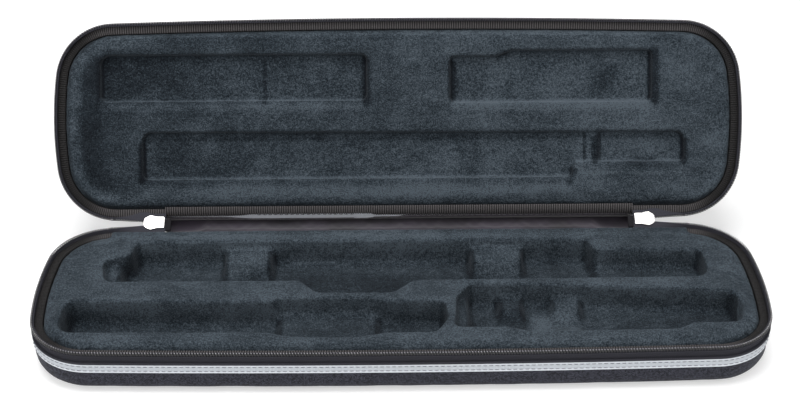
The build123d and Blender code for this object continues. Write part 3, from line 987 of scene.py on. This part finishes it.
zipTape = {
    "outer": 0.0016, "inner": 0.0021, "bottom": 0.0209, "fold": 0.0002,
    "rim": {"top": 0.0277, "lip": 0.0002, "lipLow": 0.0255, "lipHigh": 0.0260, "lap": 0.0001,
            "lapLow": 0.0200, "lapHigh": 0.0214, "fold": 0.0002},
    "spine": {"top": 0.0246, "lip": 0.0016, "lipLow": 0.0228, "lipHigh": 0.0230, "lap": 0.0016,
              "lapLow": 0.0210, "lapHigh": 0.0214, "fold": 0.0},
}


def tapeProfile(point, outward):
    # Beside the hinge the tape is plain. Round the rim it has a lip under the coil and a lap over the band.
    part = zipTape["spine" if besideHinge(point, zipEdge) else "rim"]
    outer, inner, bottom = zipTape["outer"], zipTape["inner"], zipTape["bottom"]
    top, lip, low, high, lap, lapLow, lapHigh, fold = [
        part[key] for key in ("top", "lip", "lipLow", "lipHigh", "lap", "lapLow", "lapHigh", "fold")]
    return [
        (inner, bottom), (lap + 1.5 * fold, bottom), (lap + 1.5 * fold, lapLow), (lap, lapLow + 0.0001),
        (lap, lapHigh - 0.0002), (lap + fold, lapHigh), (outer, lapHigh + 0.0001), (outer, low),
        (lip, low + 0.0001), (lip, high), (outer, high + 0.0001), (outer, top), (inner, top),
    ]


baseTape = sweptStrip("base_woven_tape", openRim(0.002, case["stripHalf"]), tapeProfile)
baseTape.data.materials.append(materials["baseTape"])
baseTape.data.polygons.foreach_set("use_smooth", [False] * len(baseTape.data.polygons))
lidTape = copyToLid(baseTape, "lid_woven_tape")
lidTape.data.materials[0] = materials["lidTape"]
give(baseTape, "base", "zip_cloth", "base_zip_tape")
give(lidTape, "lid", "zip_cloth", "lid_zip_tape")


# Folded and sewn ends of the zip.

zipFold = {
    "centre": 0.1412,
    "half": (0.0018, 0.0011, 0.0029),
    "back": 0.0005,
    "waist": 0.82,
    "reach": 1.75,
}


def foldedEnd(name, sign):
    # A small soft block, narrower at its waist. It reaches further on the base's side, under the slider's corner.
    edit = bmesh.new()
    bmesh.ops.create_cube(edit, size=2.0)
    bmesh.ops.subdivide_edges(edit, edges=edit.edges[:], cuts=3, use_grid_fill=True)
    half = zipFold["half"]
    turn = Matrix.Rotation(-openTurn / 2, 3, "X")
    for vertex in edit.verts:
        x, y, z = vertex.co
        swell = 1 - 0.12 * abs(z) ** 4 - 0.10 * abs(x) ** 4
        waist = zipFold["waist"] if abs(z) < 0.2 else 1.0
        reach = zipFold["reach"] if z < 0 else 1 - 0.06 * abs(x) ** 3
        placed = turn @ Vector((0, y * half[1] * swell * waist - zipFold["back"], z * half[2] * reach))
        vertex.co = placed + hingePoint + Vector((sign * zipFold["centre"] + x * half[0], 0, 0))
    mesh = bpy.data.meshes.new(name)
    edit.to_mesh(mesh)
    edit.free()
    made = addObject(name, mesh)
    made.modifiers.new("round", "SUBSURF").levels = 2
    made = settle(made)
    made.data.materials.append(materials["fold"])
    return made


for side, sign in (("left", -1), ("right", 1)):
    give(foldedEnd("zip_end_" + side + "_fold", sign), "zip_end_" + side, "zip_cloth", "zip_end_" + side)
print("tapes and folded ends made")


# Stitches on the reflective bands.

stitching = {
    "pitch": 0.0033, "length": 0.0021, "thread": 0.00019, "rise": 0.00012, "wander": 0.06,
    "rows": (0.0186, 0.0158), "inset": 0.00036, "fromHinge": 0.003,
    "slope": {"from": -0.086, "to": -0.016, "along": 0.0047, "lift": 0.00062, "count": 60},
}


def sewRow(name, frames, seed, material="thread"):
    return runTree(pathObject(name, frames), rowTree, {
        "Pitch": stitching["pitch"], "Length": stitching["length"], "Rise": stitching["rise"],
        "Thread": stitching["thread"], "Wander": stitching["wander"], "Seed": seed, "Material": materials[material]})


bandSamples = openRim(0.002, case["stripHalf"] + stitching["fromHinge"])
rows = []
for i, height in enumerate(stitching["rows"]):
    frames = rimFrames(bandSamples, stitching["inset"], height, crosswise=False)
    rows.append(sewRow("band_row_" + str(i), frames, 7 + i, "paleThread"))
baseRows = joinPieces("base_band_stitches", rows)
rimRows = copyToLid(baseRows, "lid_band_stitches_rim")
slope = stitching["slope"]
slopePath = slopeFrames(slope["from"], slope["to"], slope["count"], lambda x: slope["along"], slope["lift"])
slopeRow = moveToLid(sewRow("slope_row", slopePath, 11), "lid_slope_row")
lidRows = joinPieces("lid_band_stitches", [rimRows, slopeRow])
give(baseRows, "base", "reflective_band")
give(lidRows, "lid", "reflective_band")
print("stitches sewn:", len(baseRows.data.polygons) + len(lidRows.data.polygons), "faces")


# Nylon skins over both halves, drawn a little loose over the board.

skin = {
    "inset": 0.0009, "top": 0.0209, "round": 0.0086, "thickness": 0.0009, "cell": 0.0035,
    "arcSteps": 6, "wallSteps": 5, "rings": 14,
    "pucker": 0.00035, "puckers": 46, "wallRise": 0.004, "bandFoot": 0.017, "bandShare": 0.35,
}


def skinProfile(point, outward):
    # Up from the flat underside, round the edge and up the wall. It leans in along the relief.
    inset, radius, top = skin["inset"], skin["round"], skin["top"]
    rows = []
    for i in range(skin["arcSteps"] + 1):
        angle = math.radians(90 * i / skin["arcSteps"])
        rows.append((inset + radius * (1 - math.sin(angle)), radius * (1 - math.cos(angle))))
    lean = slopeWay.x / slopeWay.y if besideHinge(point, case["stripHalf"]) else 0.0
    for i in range(1, skin["wallSteps"] + 1):
        z = radius + (top - radius) * i / skin["wallSteps"]
        rows.append((inset + lean * max(0.0, z - slopeFoot.y), z))
    return rows


def makeSkin(name, seed):
    samples = rimLoop(skin["cell"])
    count = len(samples)
    rows = [[(p.x - n.x * w, p.y - n.y * w, z) for w, z in skinProfile(p, n)] for p, n in samples]
    spineReach = case["halfLength"] - case["halfDepth"]
    rings = skin["rings"]
    points = []
    for row in rows:
        edge = Vector(row[0])
        centre = Vector((max(-spineReach, min(spineReach, edge.x)), 0, 0))
        points += [tuple(centre.lerp(edge, (i + 0.5) / rings)) for i in range(rings)] + row
    wide = rings + len(rows[0])
    faces = [(i * wide + k, i * wide + k + 1, (i + 1) % count * wide + k + 1, (i + 1) % count * wide + k)
             for i in range(count) for k in range(wide - 1)]
    made = meshObject(name, points, faces)
    edit = bmesh.new()
    edit.from_mesh(made.data)
    edit.verts.ensure_lookup_table()
    inner = [edit.verts[i * wide] for i in range(count)]
    for i in range(count // 2 - 1):
        quad = [inner[i], inner[i + 1], inner[count - 2 - i], inner[count - 1 - i]]
        if len(set(quad)) == 4:
            edit.faces.new(quad)
    bmesh.ops.remove_doubles(edit, verts=edit.verts, dist=1e-5)
    bmesh.ops.recalc_face_normals(edit, faces=edit.faces)
    if sum(face.normal.z * face.calc_area() for face in edit.faces if abs(face.normal.z) > 0.9) > 0:
        bmesh.ops.reverse_faces(edit, faces=edit.faces)
    edit.normal_update()
    for vertex in edit.verts:
        place = vertex.co * skin["puckers"] + Vector((seed, 0, 0))
        slow = noise.noise(place) + 0.5 * noise.noise(place * 2.7)
        wall = eased(vertex.co.z, 0.0, skin["wallRise"])
        lift = skin["pucker"] * slow * (1.0 if vertex.co.z < skin["bandFoot"] else skin["bandShare"])
        vertex.co += vertex.normal * (lift * wall - abs(lift) * (1 - wall))
    edit.to_mesh(made.data)
    edit.free()
    wall = made.modifiers.new("thickness", "SOLIDIFY")
    wall.thickness = skin["thickness"]
    wall.offset = -1
    return settle(made)


baseSkin = makeSkin("base_nylon_skin", 3.0)
lidSkin = moveToLid(makeSkin("lid_skin_source", 8.0), "lid_nylon_skin")
baseSkin.data.materials.append(materials["baseNylon"])
lidSkin.data.materials.append(materials["lidNylon"])
give(baseSkin, "base", "nylon", "base_cover")
give(lidSkin, "lid", "nylon", "lid_cover")
print("nylon skins made:", len(baseSkin.data.polygons), "faces each")


# Plush linings: the moulded tray under its pile, swollen a little by cloth simulation.

lining = {
    "fine": {"base": 0.00130, "lid": 0.00120},
    "coarse": 0.0034,
    "pressure": 3.0,
    "frames": 20,
    "cap": 0.0009,
    "ceiling": 0.0278,
    "overCeiling": 0.0020,
    "ceilingShare": 0.3,
    "smooth": 2,
    "deepSmooth": {"base": 40, "lid": 1},
    "rimStep": 0.003,
    "nearest": 5,
    "softening": 0.0004,
    "lumps": 150.0,
    "lumpHeight": 0.0008,
    "tufts": 620.0,
    "tuftHeight": 0.0004,
}
# Places are given as the half lies closed. Glued parts: the underside and what lies near the rim.
glued = {"under": 0.0045, "inset": 0.0088, "rimBelow": 0.0262}
# Heights between which the hollows are smoothed, and how far along the case.
hollows = {"rise": (0.005, 0.007), "fall": (0.0215, 0.0245), "reach": 0.195}
# Patches of darker pile, partly brushed pile and partly painted shade on the floors of the hollows, with lighter ones
# where the value is negative: x, y, half sizes and how dark.
napAndShadePatches = {
    "base": [
        (-0.015, 0.022, 0.065, 0.012, 0.14), (-0.145, 0.020, 0.030, 0.010, -0.10), (0.066, -0.018, 0.009, 0.018, 0.16),
        (0.052, -0.010, 0.010, 0.010, 0.06), (0.088, -0.022, 0.016, 0.012, -0.15), (0.078, -0.020, 0.008, 0.015, -0.12),
        (-0.150, -0.034, 0.022, 0.008, 0.10), (-0.125, 0.018, 0.014, 0.012, 0.08), (-0.055, 0.030, 0.020, 0.008, 0.07),
    ],
    "lid": [
        (-0.182, 0.012, 0.018, 0.034, 0.10), (-0.160, -0.024, 0.026, 0.018, 0.13), (-0.136, 0.030, 0.022, 0.016, 0.12),
        (0.009, -0.030, 0.004, 0.004, 0.14), (0.124, -0.024, 0.009, 0.009, 0.10), (0.150, 0.028, 0.011, 0.004, 0.12),
        (-0.100, 0.030, 0.012, 0.014, 0.06),
    ],
}
# Painted shade along the end walls and edges of the lid's hollows, and painted light along their lower edges where the
# value is negative: from x, y to x, y, half width and how dark.
shadeLines = [
    (-0.0199, -0.035, -0.0199, -0.010, 0.0021, 0.30), (-0.0817, -0.036, -0.0817, -0.010, 0.0008, 0.22),
    (-0.1822, -0.034, -0.1822, -0.011, 0.0012, 0.14), (-0.1567, 0.0160, -0.1567, 0.0370, 0.0018, 0.36),
    (0.0325, -0.0330, 0.0325, -0.0125, 0.0021, 0.36), (0.0600, -0.0362, 0.0670, -0.0405, 0.0010, 0.18),
    (0.1556, -0.0395, 0.1556, -0.0105, 0.0026, 0.36), (0.1200, -0.0160, 0.1310, -0.0290, 0.0035, 0.12),
    (0.1196, 0.0140, 0.1196, 0.0265, 0.0018, 0.36), (0.1742, 0.0145, 0.1742, 0.0275, 0.0018, 0.34),
    (0.1040, 0.0400, 0.1075, 0.0330, 0.0017, 0.30), (0.1440, 0.0297, 0.1680, 0.0200, 0.0008, 0.10),
    (-0.1550, 0.0120, 0.1720, 0.0120, 0.0012, 0.10), (-0.1900, 0.0545, 0.1800, 0.0545, 0.0026, 0.14),
    (-0.1800, -0.0075, -0.0230, -0.0075, 0.0018, -0.14), (0.0350, -0.0075, 0.1520, -0.0075, 0.0026, -0.18),
    (-0.1540, 0.0440, 0.1020, 0.0440, 0.0030, -0.14), (0.1090, 0.0340, 0.1720, 0.0340, 0.0010, -0.10),
]
# Bands of painted light and shade on the pile, round the rim's shoulder, along the top and bottom strips and at the
# base's left end: what is measured, where the band rises and falls, how much lighter it is and where it counts.
start = (-2, -1)
bands = {
    "base": [
        ("inset", start, (0.0078, 0.0098), -0.10, "all"), ("y", (0.046, 0.050), (1, 2), 0.07, "top"),
        ("x", start, (-0.195, -0.175), -0.05, "top"),
    ],
    "lid": [
        ("inset", start, (0.0078, 0.0098), -0.10, "all"), ("inset", (0.0085, 0.0115), (0.0130, 0.0170), 0.12, "left"),
        ("inset", (0.0150, 0.0190), (0.0240, 0.0330), -0.13, "left"), ("y", start, (-0.056, -0.040), -0.09, "all"),
        ("y", (0.037, 0.041), (0.050, 0.053), 0.06, "all"),
    ],
}
# Painted light and shade on the walls of the hollows, by the way that they face across the case: sign, from and to, how
# much lighter.
walls = {"base": [(-1, (0.2, 0.8), 0.08)], "lid": [(-1, (0.15, 0.6), 0.16), (1, (0.2, 0.7), -0.14)]}
# Settings for the pile's tone: a gradient darker towards the lid's left end, painted shade lines above a height, and
# painted shade on the hollows' end walls, at a lump and on the base's deep floors.
napAndShade = {
    "across": {"base": (-0.01, -0.01), "lid": (-0.11, 0.02)},
    "length": (-0.2, 0.2),
    "patchEdge": (0.5, 1.4),
    "shadeLinesAbove": 0.0180,
    "shadeLinesEdge": (0.3, 1.8),
    "left": (-0.195, -0.12),
    "top": 0.026,
    "hollowReach": 0.192,
    "hollowFloor": 0.006,
    "hollowTop": 0.0271,
    "endShade": 0.30,
    "endFacing": (0.12, 0.6),
    "lump": (0.071, 0.100),
    "lumpShade": 0.06,
    "depthShade": {"base": 0.14, "lid": 0.0},
    "depth": (0.010, 0.0262),
}


def relaxBy(piece, rounds, group=""):
    relax = piece.modifiers.new("relax", "SMOOTH")
    relax.vertex_group = group
    relax.factor = 0.5
    relax.iterations = rounds


def treeOf(points):
    tree = kdtree.KDTree(len(points))
    for i, point in enumerate(points):
        tree.insert(point, i)
    tree.balance()
    return tree


rimTree = treeOf([(point.x, point.y, 0) for point, outward in rimLoop(lining["rimStep"])])


def rimInset(place):
    return rimTree.find((place.x, place.y, 0))[2]


def softCopy(name, nodeNames, voxel, rounds):
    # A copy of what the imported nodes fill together, in one even skin.
    edit = bmesh.new()
    for nodeName in nodeNames:
        edit.from_mesh(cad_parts[nodeName].data)
    bmesh.ops.remove_doubles(edit, verts=edit.verts, dist=1e-5)
    mesh = bpy.data.meshes.new(name)
    edit.to_mesh(mesh)
    edit.free()
    made = addObject(name, mesh)
    even = made.modifiers.new("even", "REMESH")
    even.mode = "VOXEL"
    even.voxel_size = voxel
    relaxBy(made, rounds)
    return settle(made)


def holdAtWall(piece, toBase):
    # Points on the underside and at the rim are glued to the shell and stay where they are.
    held = []
    for vertex in piece.data.vertices:
        place = toBase @ vertex.co
        atRim = rimInset(place) < glued["inset"] and place.z < glued["rimBelow"]
        if place.z < glued["under"] or atRim:
            held.append(vertex.index)
    piece.vertex_groups.new(name="glued").add(held, 1.0, "REPLACE")


def softenHollows(piece, half, toBase):
    # The plush bridges the corners inside the hollows, but stays crisp round their mouths.
    group = piece.vertex_groups.new(name="hollows")
    for vertex in piece.data.vertices:
        place = toBase @ vertex.co
        weight = eased(place.z, *hollows["rise"]) * (1 - eased(place.z, *hollows["fall"]))
        if weight > 0.01 and abs(place.x) < hollows["reach"]:
            group.add([vertex.index], weight, "REPLACE")
    relaxBy(piece, lining["deepSmooth"][half], "hollows")
    settle(piece)
    piece.vertex_groups.clear()


def followCoarse(piece, points, moves):
    # Each fine point moves by the mean of its nearest coarse points, weighted by nearness.
    tree = treeOf(points)
    for vertex in piece.data.vertices:
        total, weight = Vector((0, 0, 0)), 0.0
        for place, index, distance in tree.find_n(vertex.co, lining["nearest"]):
            share = 1 / (distance + lining["softening"]) ** 2
            total += moves[index] * share
            weight += share
        vertex.co += total / weight
    piece.data.update()


def farFromLine(place, x0, y0, x1, y1):
    dx, dy = x1 - x0, y1 - y0
    share = min(1.0, max(0.0, ((place.x - x0) * dx + (place.y - y0) * dy) / (dx * dx + dy * dy)))
    return math.hypot(place.x - x0 - dx * share, place.y - y0 - dy * share)


def napAndShadeAt(place, way, half):
    # Tone of the pile at a point of a half, with the way that the skin faces there: brushed patches, a gradient darker
    # towards the lid's left end, and painted light and shade on the hollows and round the rim.
    left, right = napAndShade["across"][half]
    value = left + (right - left) * eased(place.x, *napAndShade["length"])
    # Brushed patches and painted shade patches.
    for x, y, wide, deep, dark in napAndShadePatches[half]:
        far = math.hypot((place.x - x) / wide, (place.y - y) / deep)
        value -= dark * (1 - eased(far, *napAndShade["patchEdge"]))
    # Painted shade and painted light lines on the lid's hollows.
    if half == "lid" and place.z > napAndShade["shadeLinesAbove"]:
        low, high = napAndShade["shadeLinesEdge"]
        for x0, y0, x1, y1, wide, dark in shadeLines:
            value -= dark * (1 - eased(farFromLine(place, x0, y0, x1, y1), low * wide, high * wide))
    measured = {"x": place.x, "y": place.y, "inset": rimInset(place)}
    counts = {"all": 1.0, "left": 1 - eased(place.x, *napAndShade["left"]), "top": 1.0 if place.z > napAndShade["top"] else 0.0}
    # Painted light and shade in bands.
    for what, rise, fall, lighter, where in bands[half]:
        value += lighter * counts[where] * eased(measured[what], *rise) * (1 - eased(measured[what], *fall))
    # Painted shade on the hollows' end walls, less at the lump, painted light and shade on their long walls by facing,
    # and painted shade deeper down in the base.
    if abs(place.x) < napAndShade["hollowReach"] and napAndShade["hollowFloor"] < place.z < napAndShade["hollowTop"]:
        lump = half == "base" and napAndShade["lump"][0] < place.x < napAndShade["lump"][1] and place.y < 0
        value -= napAndShade["lumpShade" if lump else "endShade"] * eased(abs(way.x), *napAndShade["endFacing"])
        for sign, turn, lighter in walls[half]:
            value += lighter * eased(sign * way.y, *turn)
        value -= napAndShade["depthShade"][half] * (1 - eased(place.z, *napAndShade["depth"]))
    return value


# Stores on every point the pile's tone with its painted light and shade.
def paintNapAndShade(piece, half, toBase):
    turnBack = toBase.to_3x3()
    addValues(piece.data, "napAndShade", [
        napAndShadeAt(toBase @ vertex.co, turnBack @ vertex.normal, half) for vertex in piece.data.vertices])


def pressFlat(piece, toBase):
    # Where the closed halves would meet, the pile is held down just below the parting plane.
    fromBase, ceiling = toBase.inverted(), lining["ceiling"]
    for vertex in piece.data.vertices:
        place = toBase @ vertex.co
        if place.z > ceiling:
            place.z = ceiling + lining["ceilingShare"] * min(lining["overCeiling"], place.z - ceiling)
            vertex.co = fromBase @ place
    piece.data.update()


def addCloth(piece, groupName, mass, bending, pressure, gravity):
    cloth = piece.modifiers.new("cloth", "CLOTH")
    values = {
        "quality": 5, "mass": mass, "tension_stiffness": 12, "compression_stiffness": 12, "shear_stiffness": 4,
        "bending_stiffness": bending, "use_pressure": pressure > 0, "uniform_pressure_force": pressure,
        "vertex_group_mass": groupName,
    }
    for key, value in values.items():
        setattr(cloth.settings, key, value)
    cloth.settings.effector_weights.gravity = gravity
    cloth.collision_settings.use_collision = False
    cloth.collision_settings.use_self_collision = False
    cloth.point_cache.frame_start = 1
    cloth.point_cache.frame_end = lining["frames"]
    return cloth


def simulatedMoves(piece, cap):
    # How far each point moved in the simulation, by no more than the cap.
    before = [vertex.co.copy() for vertex in piece.data.vertices]
    bpy.context.view_layer.update()
    result = piece.evaluated_get(bpy.context.evaluated_depsgraph_get())
    moves = [vertex.co - old for vertex, old in zip(result.data.vertices, before)]
    furthest = max(move.length for move in moves)
    moves = [move if move.length <= cap else move * (cap / move.length) for move in moves]
    piece.modifiers.clear()
    return before, moves, furthest


softPieces, coarsePieces, backToBase = {}, {}, {"base": Matrix.Identity(4), "lid": lidPlace.inverted()}
for half in turns:
    nodeNames = [half + "_lining", half + "_insert"]
    softPieces[half] = softCopy(half + "_plush_lining", nodeNames, lining["fine"][half], lining["smooth"])
    softenHollows(softPieces[half], half, backToBase[half])
    coarsePieces[half] = softCopy(half + "_coarse_lining", nodeNames, lining["coarse"], 1)
    holdAtWall(coarsePieces[half], backToBase[half])
    addCloth(coarsePieces[half], "glued", 0.3, 0.6, lining["pressure"], 0.0)
print("linings remeshed:", [len(piece.data.polygons) for piece in softPieces.values()], "faces")


# Cloth hinge: tucked under the edge of the plush, sagging across the gap and sewn to the lid's wall.

hinge = {
    "half": 0.1428,
    "thickness": 0.0006,
    "cell": 0.0021,
    "slack": 0.010,
    "crease": 0.0005,
    "cap": 0.0022,
    # The ends dip below the pulls, which swing over them.
    "dip": 0.0024,
    "dipEdge": (0.116, 0.128),
    "path": [(0.0574, 0.0262), (0.0588, 0.0264), (0.0612, 0.0260), (0.0640, 0.0252), (0.0672, 0.0246),
             (0.0705, 0.0244), (0.0738, 0.0245)],
    "seam": [(-0.00245, 0.0118), (-0.00245, 0.0155)],
}


def openedPlace(outward, rise):
    turned = Matrix.Rotation(-openTurn, 3, "X") @ Vector((0, outward, rise))
    return (hingePoint.y + turned.y, hingePoint.z + turned.z)


def evenPath(corners, cell):
    # The same path in even steps.
    lengths = [0.0]
    for a, b in zip(corners, corners[1:]):
        lengths.append(lengths[-1] + (Vector(b) - Vector(a)).length)
    count = max(2, round(lengths[-1] / cell))
    even = []
    for i in range(count + 1):
        at = lengths[-1] * i / count
        k = max(j for j in range(len(corners) - 1) if lengths[j] <= at + 1e-12)
        share = (at - lengths[k]) / (lengths[k + 1] - lengths[k])
        even.append(Vector(corners[k]).lerp(Vector(corners[k + 1]), share))
    return even, lengths[-1]


hingeCorners = hinge["path"] + [openedPlace(*place) for place in hinge["seam"]]
hingePath, hingeDepth = evenPath(hingeCorners, hinge["cell"])
across = len(hingePath)
alongCount = round(2 * hinge["half"] / hinge["cell"])
points = []
for i in range(alongCount + 1):
    x = -hinge["half"] + 2 * hinge["half"] * i / alongCount
    for j, place in enumerate(hingePath):
        middle = math.sin(math.pi * min(1.0, j / (across - 3))) if j < across - 2 else 0.0
        crease = noise.noise(Vector((x * 62, j * 0.25, 4.2))) + 0.5 * noise.noise(Vector((x * 150, j * 0.4, 9.1)))
        dip = hinge["dip"] * eased(abs(x), *hinge["dipEdge"]) * middle ** 0.5
        points.append((x, place.x, place.y + hinge["crease"] * crease * middle - dip))
faces = [(i * across + j, (i + 1) * across + j, (i + 1) * across + j + 1, i * across + j + 1)
         for i in range(alongCount) for j in range(across - 1)]
hingeSheet = meshObject("hinge_cloth", points, faces)
sewn = hingeSheet.vertex_groups.new(name="sewn")
held = [i * across + j for i in range(alongCount + 1) for j in range(across) if j < 2 or j > across - 3]
sewn.add(held, 1.0, "REPLACE")
addCloth(hingeSheet, "sewn", 0.25, 0.3, 0.0, 1.0).settings.shrink_min = -hinge["slack"]
for step in range(1, lining["frames"] + 1):
    bpy.context.scene.frame_set(step)
for half, piece in coarsePieces.items():
    points, moves, furthest = simulatedMoves(piece, lining["cap"])
    followCoarse(softPieces[half], points, moves)
    print(half, "lining swelled by up to", round(furthest, 5))
points, moves, furthest = simulatedMoves(hingeSheet, hinge["cap"])
for vertex, move in zip(hingeSheet.data.vertices, moves):
    vertex.co += move
print("cloth hinge moved by up to", round(furthest, 5))
bpy.context.scene.frame_set(1)
for piece in coarsePieces.values():
    bpy.data.objects.remove(piece)

for half, piece in softPieces.items():
    paintNapAndShade(piece, half, backToBase[half])
    runTree(piece, pileTree, {
        "Lumps": lining["lumps"], "Lump Height": lining["lumpHeight"], "Tufts": lining["tufts"],
        "Tuft Height": lining["tuftHeight"], "Seed": 2 if half == "base" else 5, "Material": materials[half + "Plush"]})
    pressFlat(piece, backToBase[half])
    give(piece, half, "plush", half + "_lining")
print("linings finished:", [len(piece.data.polygons) for piece in softPieces.values()], "faces")

hingeSheet.vertex_groups.clear()
thick = hingeSheet.modifiers.new("thickness", "SOLIDIFY")
thick.thickness = hinge["thickness"]
thick.offset = 0
fine = hingeSheet.modifiers.new("fine", "SUBSURF")
fine.levels = fine.render_levels = 1
settle(hingeSheet)
hingeSheet.data.materials.append(materials["hinge"])
give(hingeSheet, None, "hinge_cloth", "hinge_strip")
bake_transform(hingeSheet)


# Facing of the cloth hinge on the lid's slope, over the lower part of the band.

facing = {"lift": 0.0006, "thickness": 0.0005, "step": 0.0025, "below": 0.0005}
seaming = {"half": 0.141, "count": 100, "fromEdge": 0.0006, "proud": 0.00002}


def facingProfile(point, outward):
    edge, low, foot = alongTable(facingEdge, point.x), facing["lift"], -facing["below"]
    high = low + facing["thickness"]
    return [onSlope(foot, low), onSlope(foot, high), onSlope(edge * 0.5, high), onSlope(edge, high), onSlope(edge, low)]


facingSource = sweptStrip("facing_source", spineSamples(hinge["half"], facing["step"]), facingProfile)
facingPiece = moveToLid(facingSource, "hinge_facing")
facingPiece.data.materials.append(materials["hinge"])
give(facingPiece, "lid", "hinge_cloth")
seamPath = slopeFrames(
    -seaming["half"], seaming["half"], seaming["count"], lambda x: alongTable(facingEdge, x) - seaming["fromEdge"],
    facing["lift"] + facing["thickness"] + seaming["proud"])
seam = moveToLid(sewRow("seam_source", seamPath, 23), "hinge_facing_stitches")
give(seam, "lid", "hinge_cloth")
print("cloth hinge made:", len(hingeSheet.data.polygons), "faces")
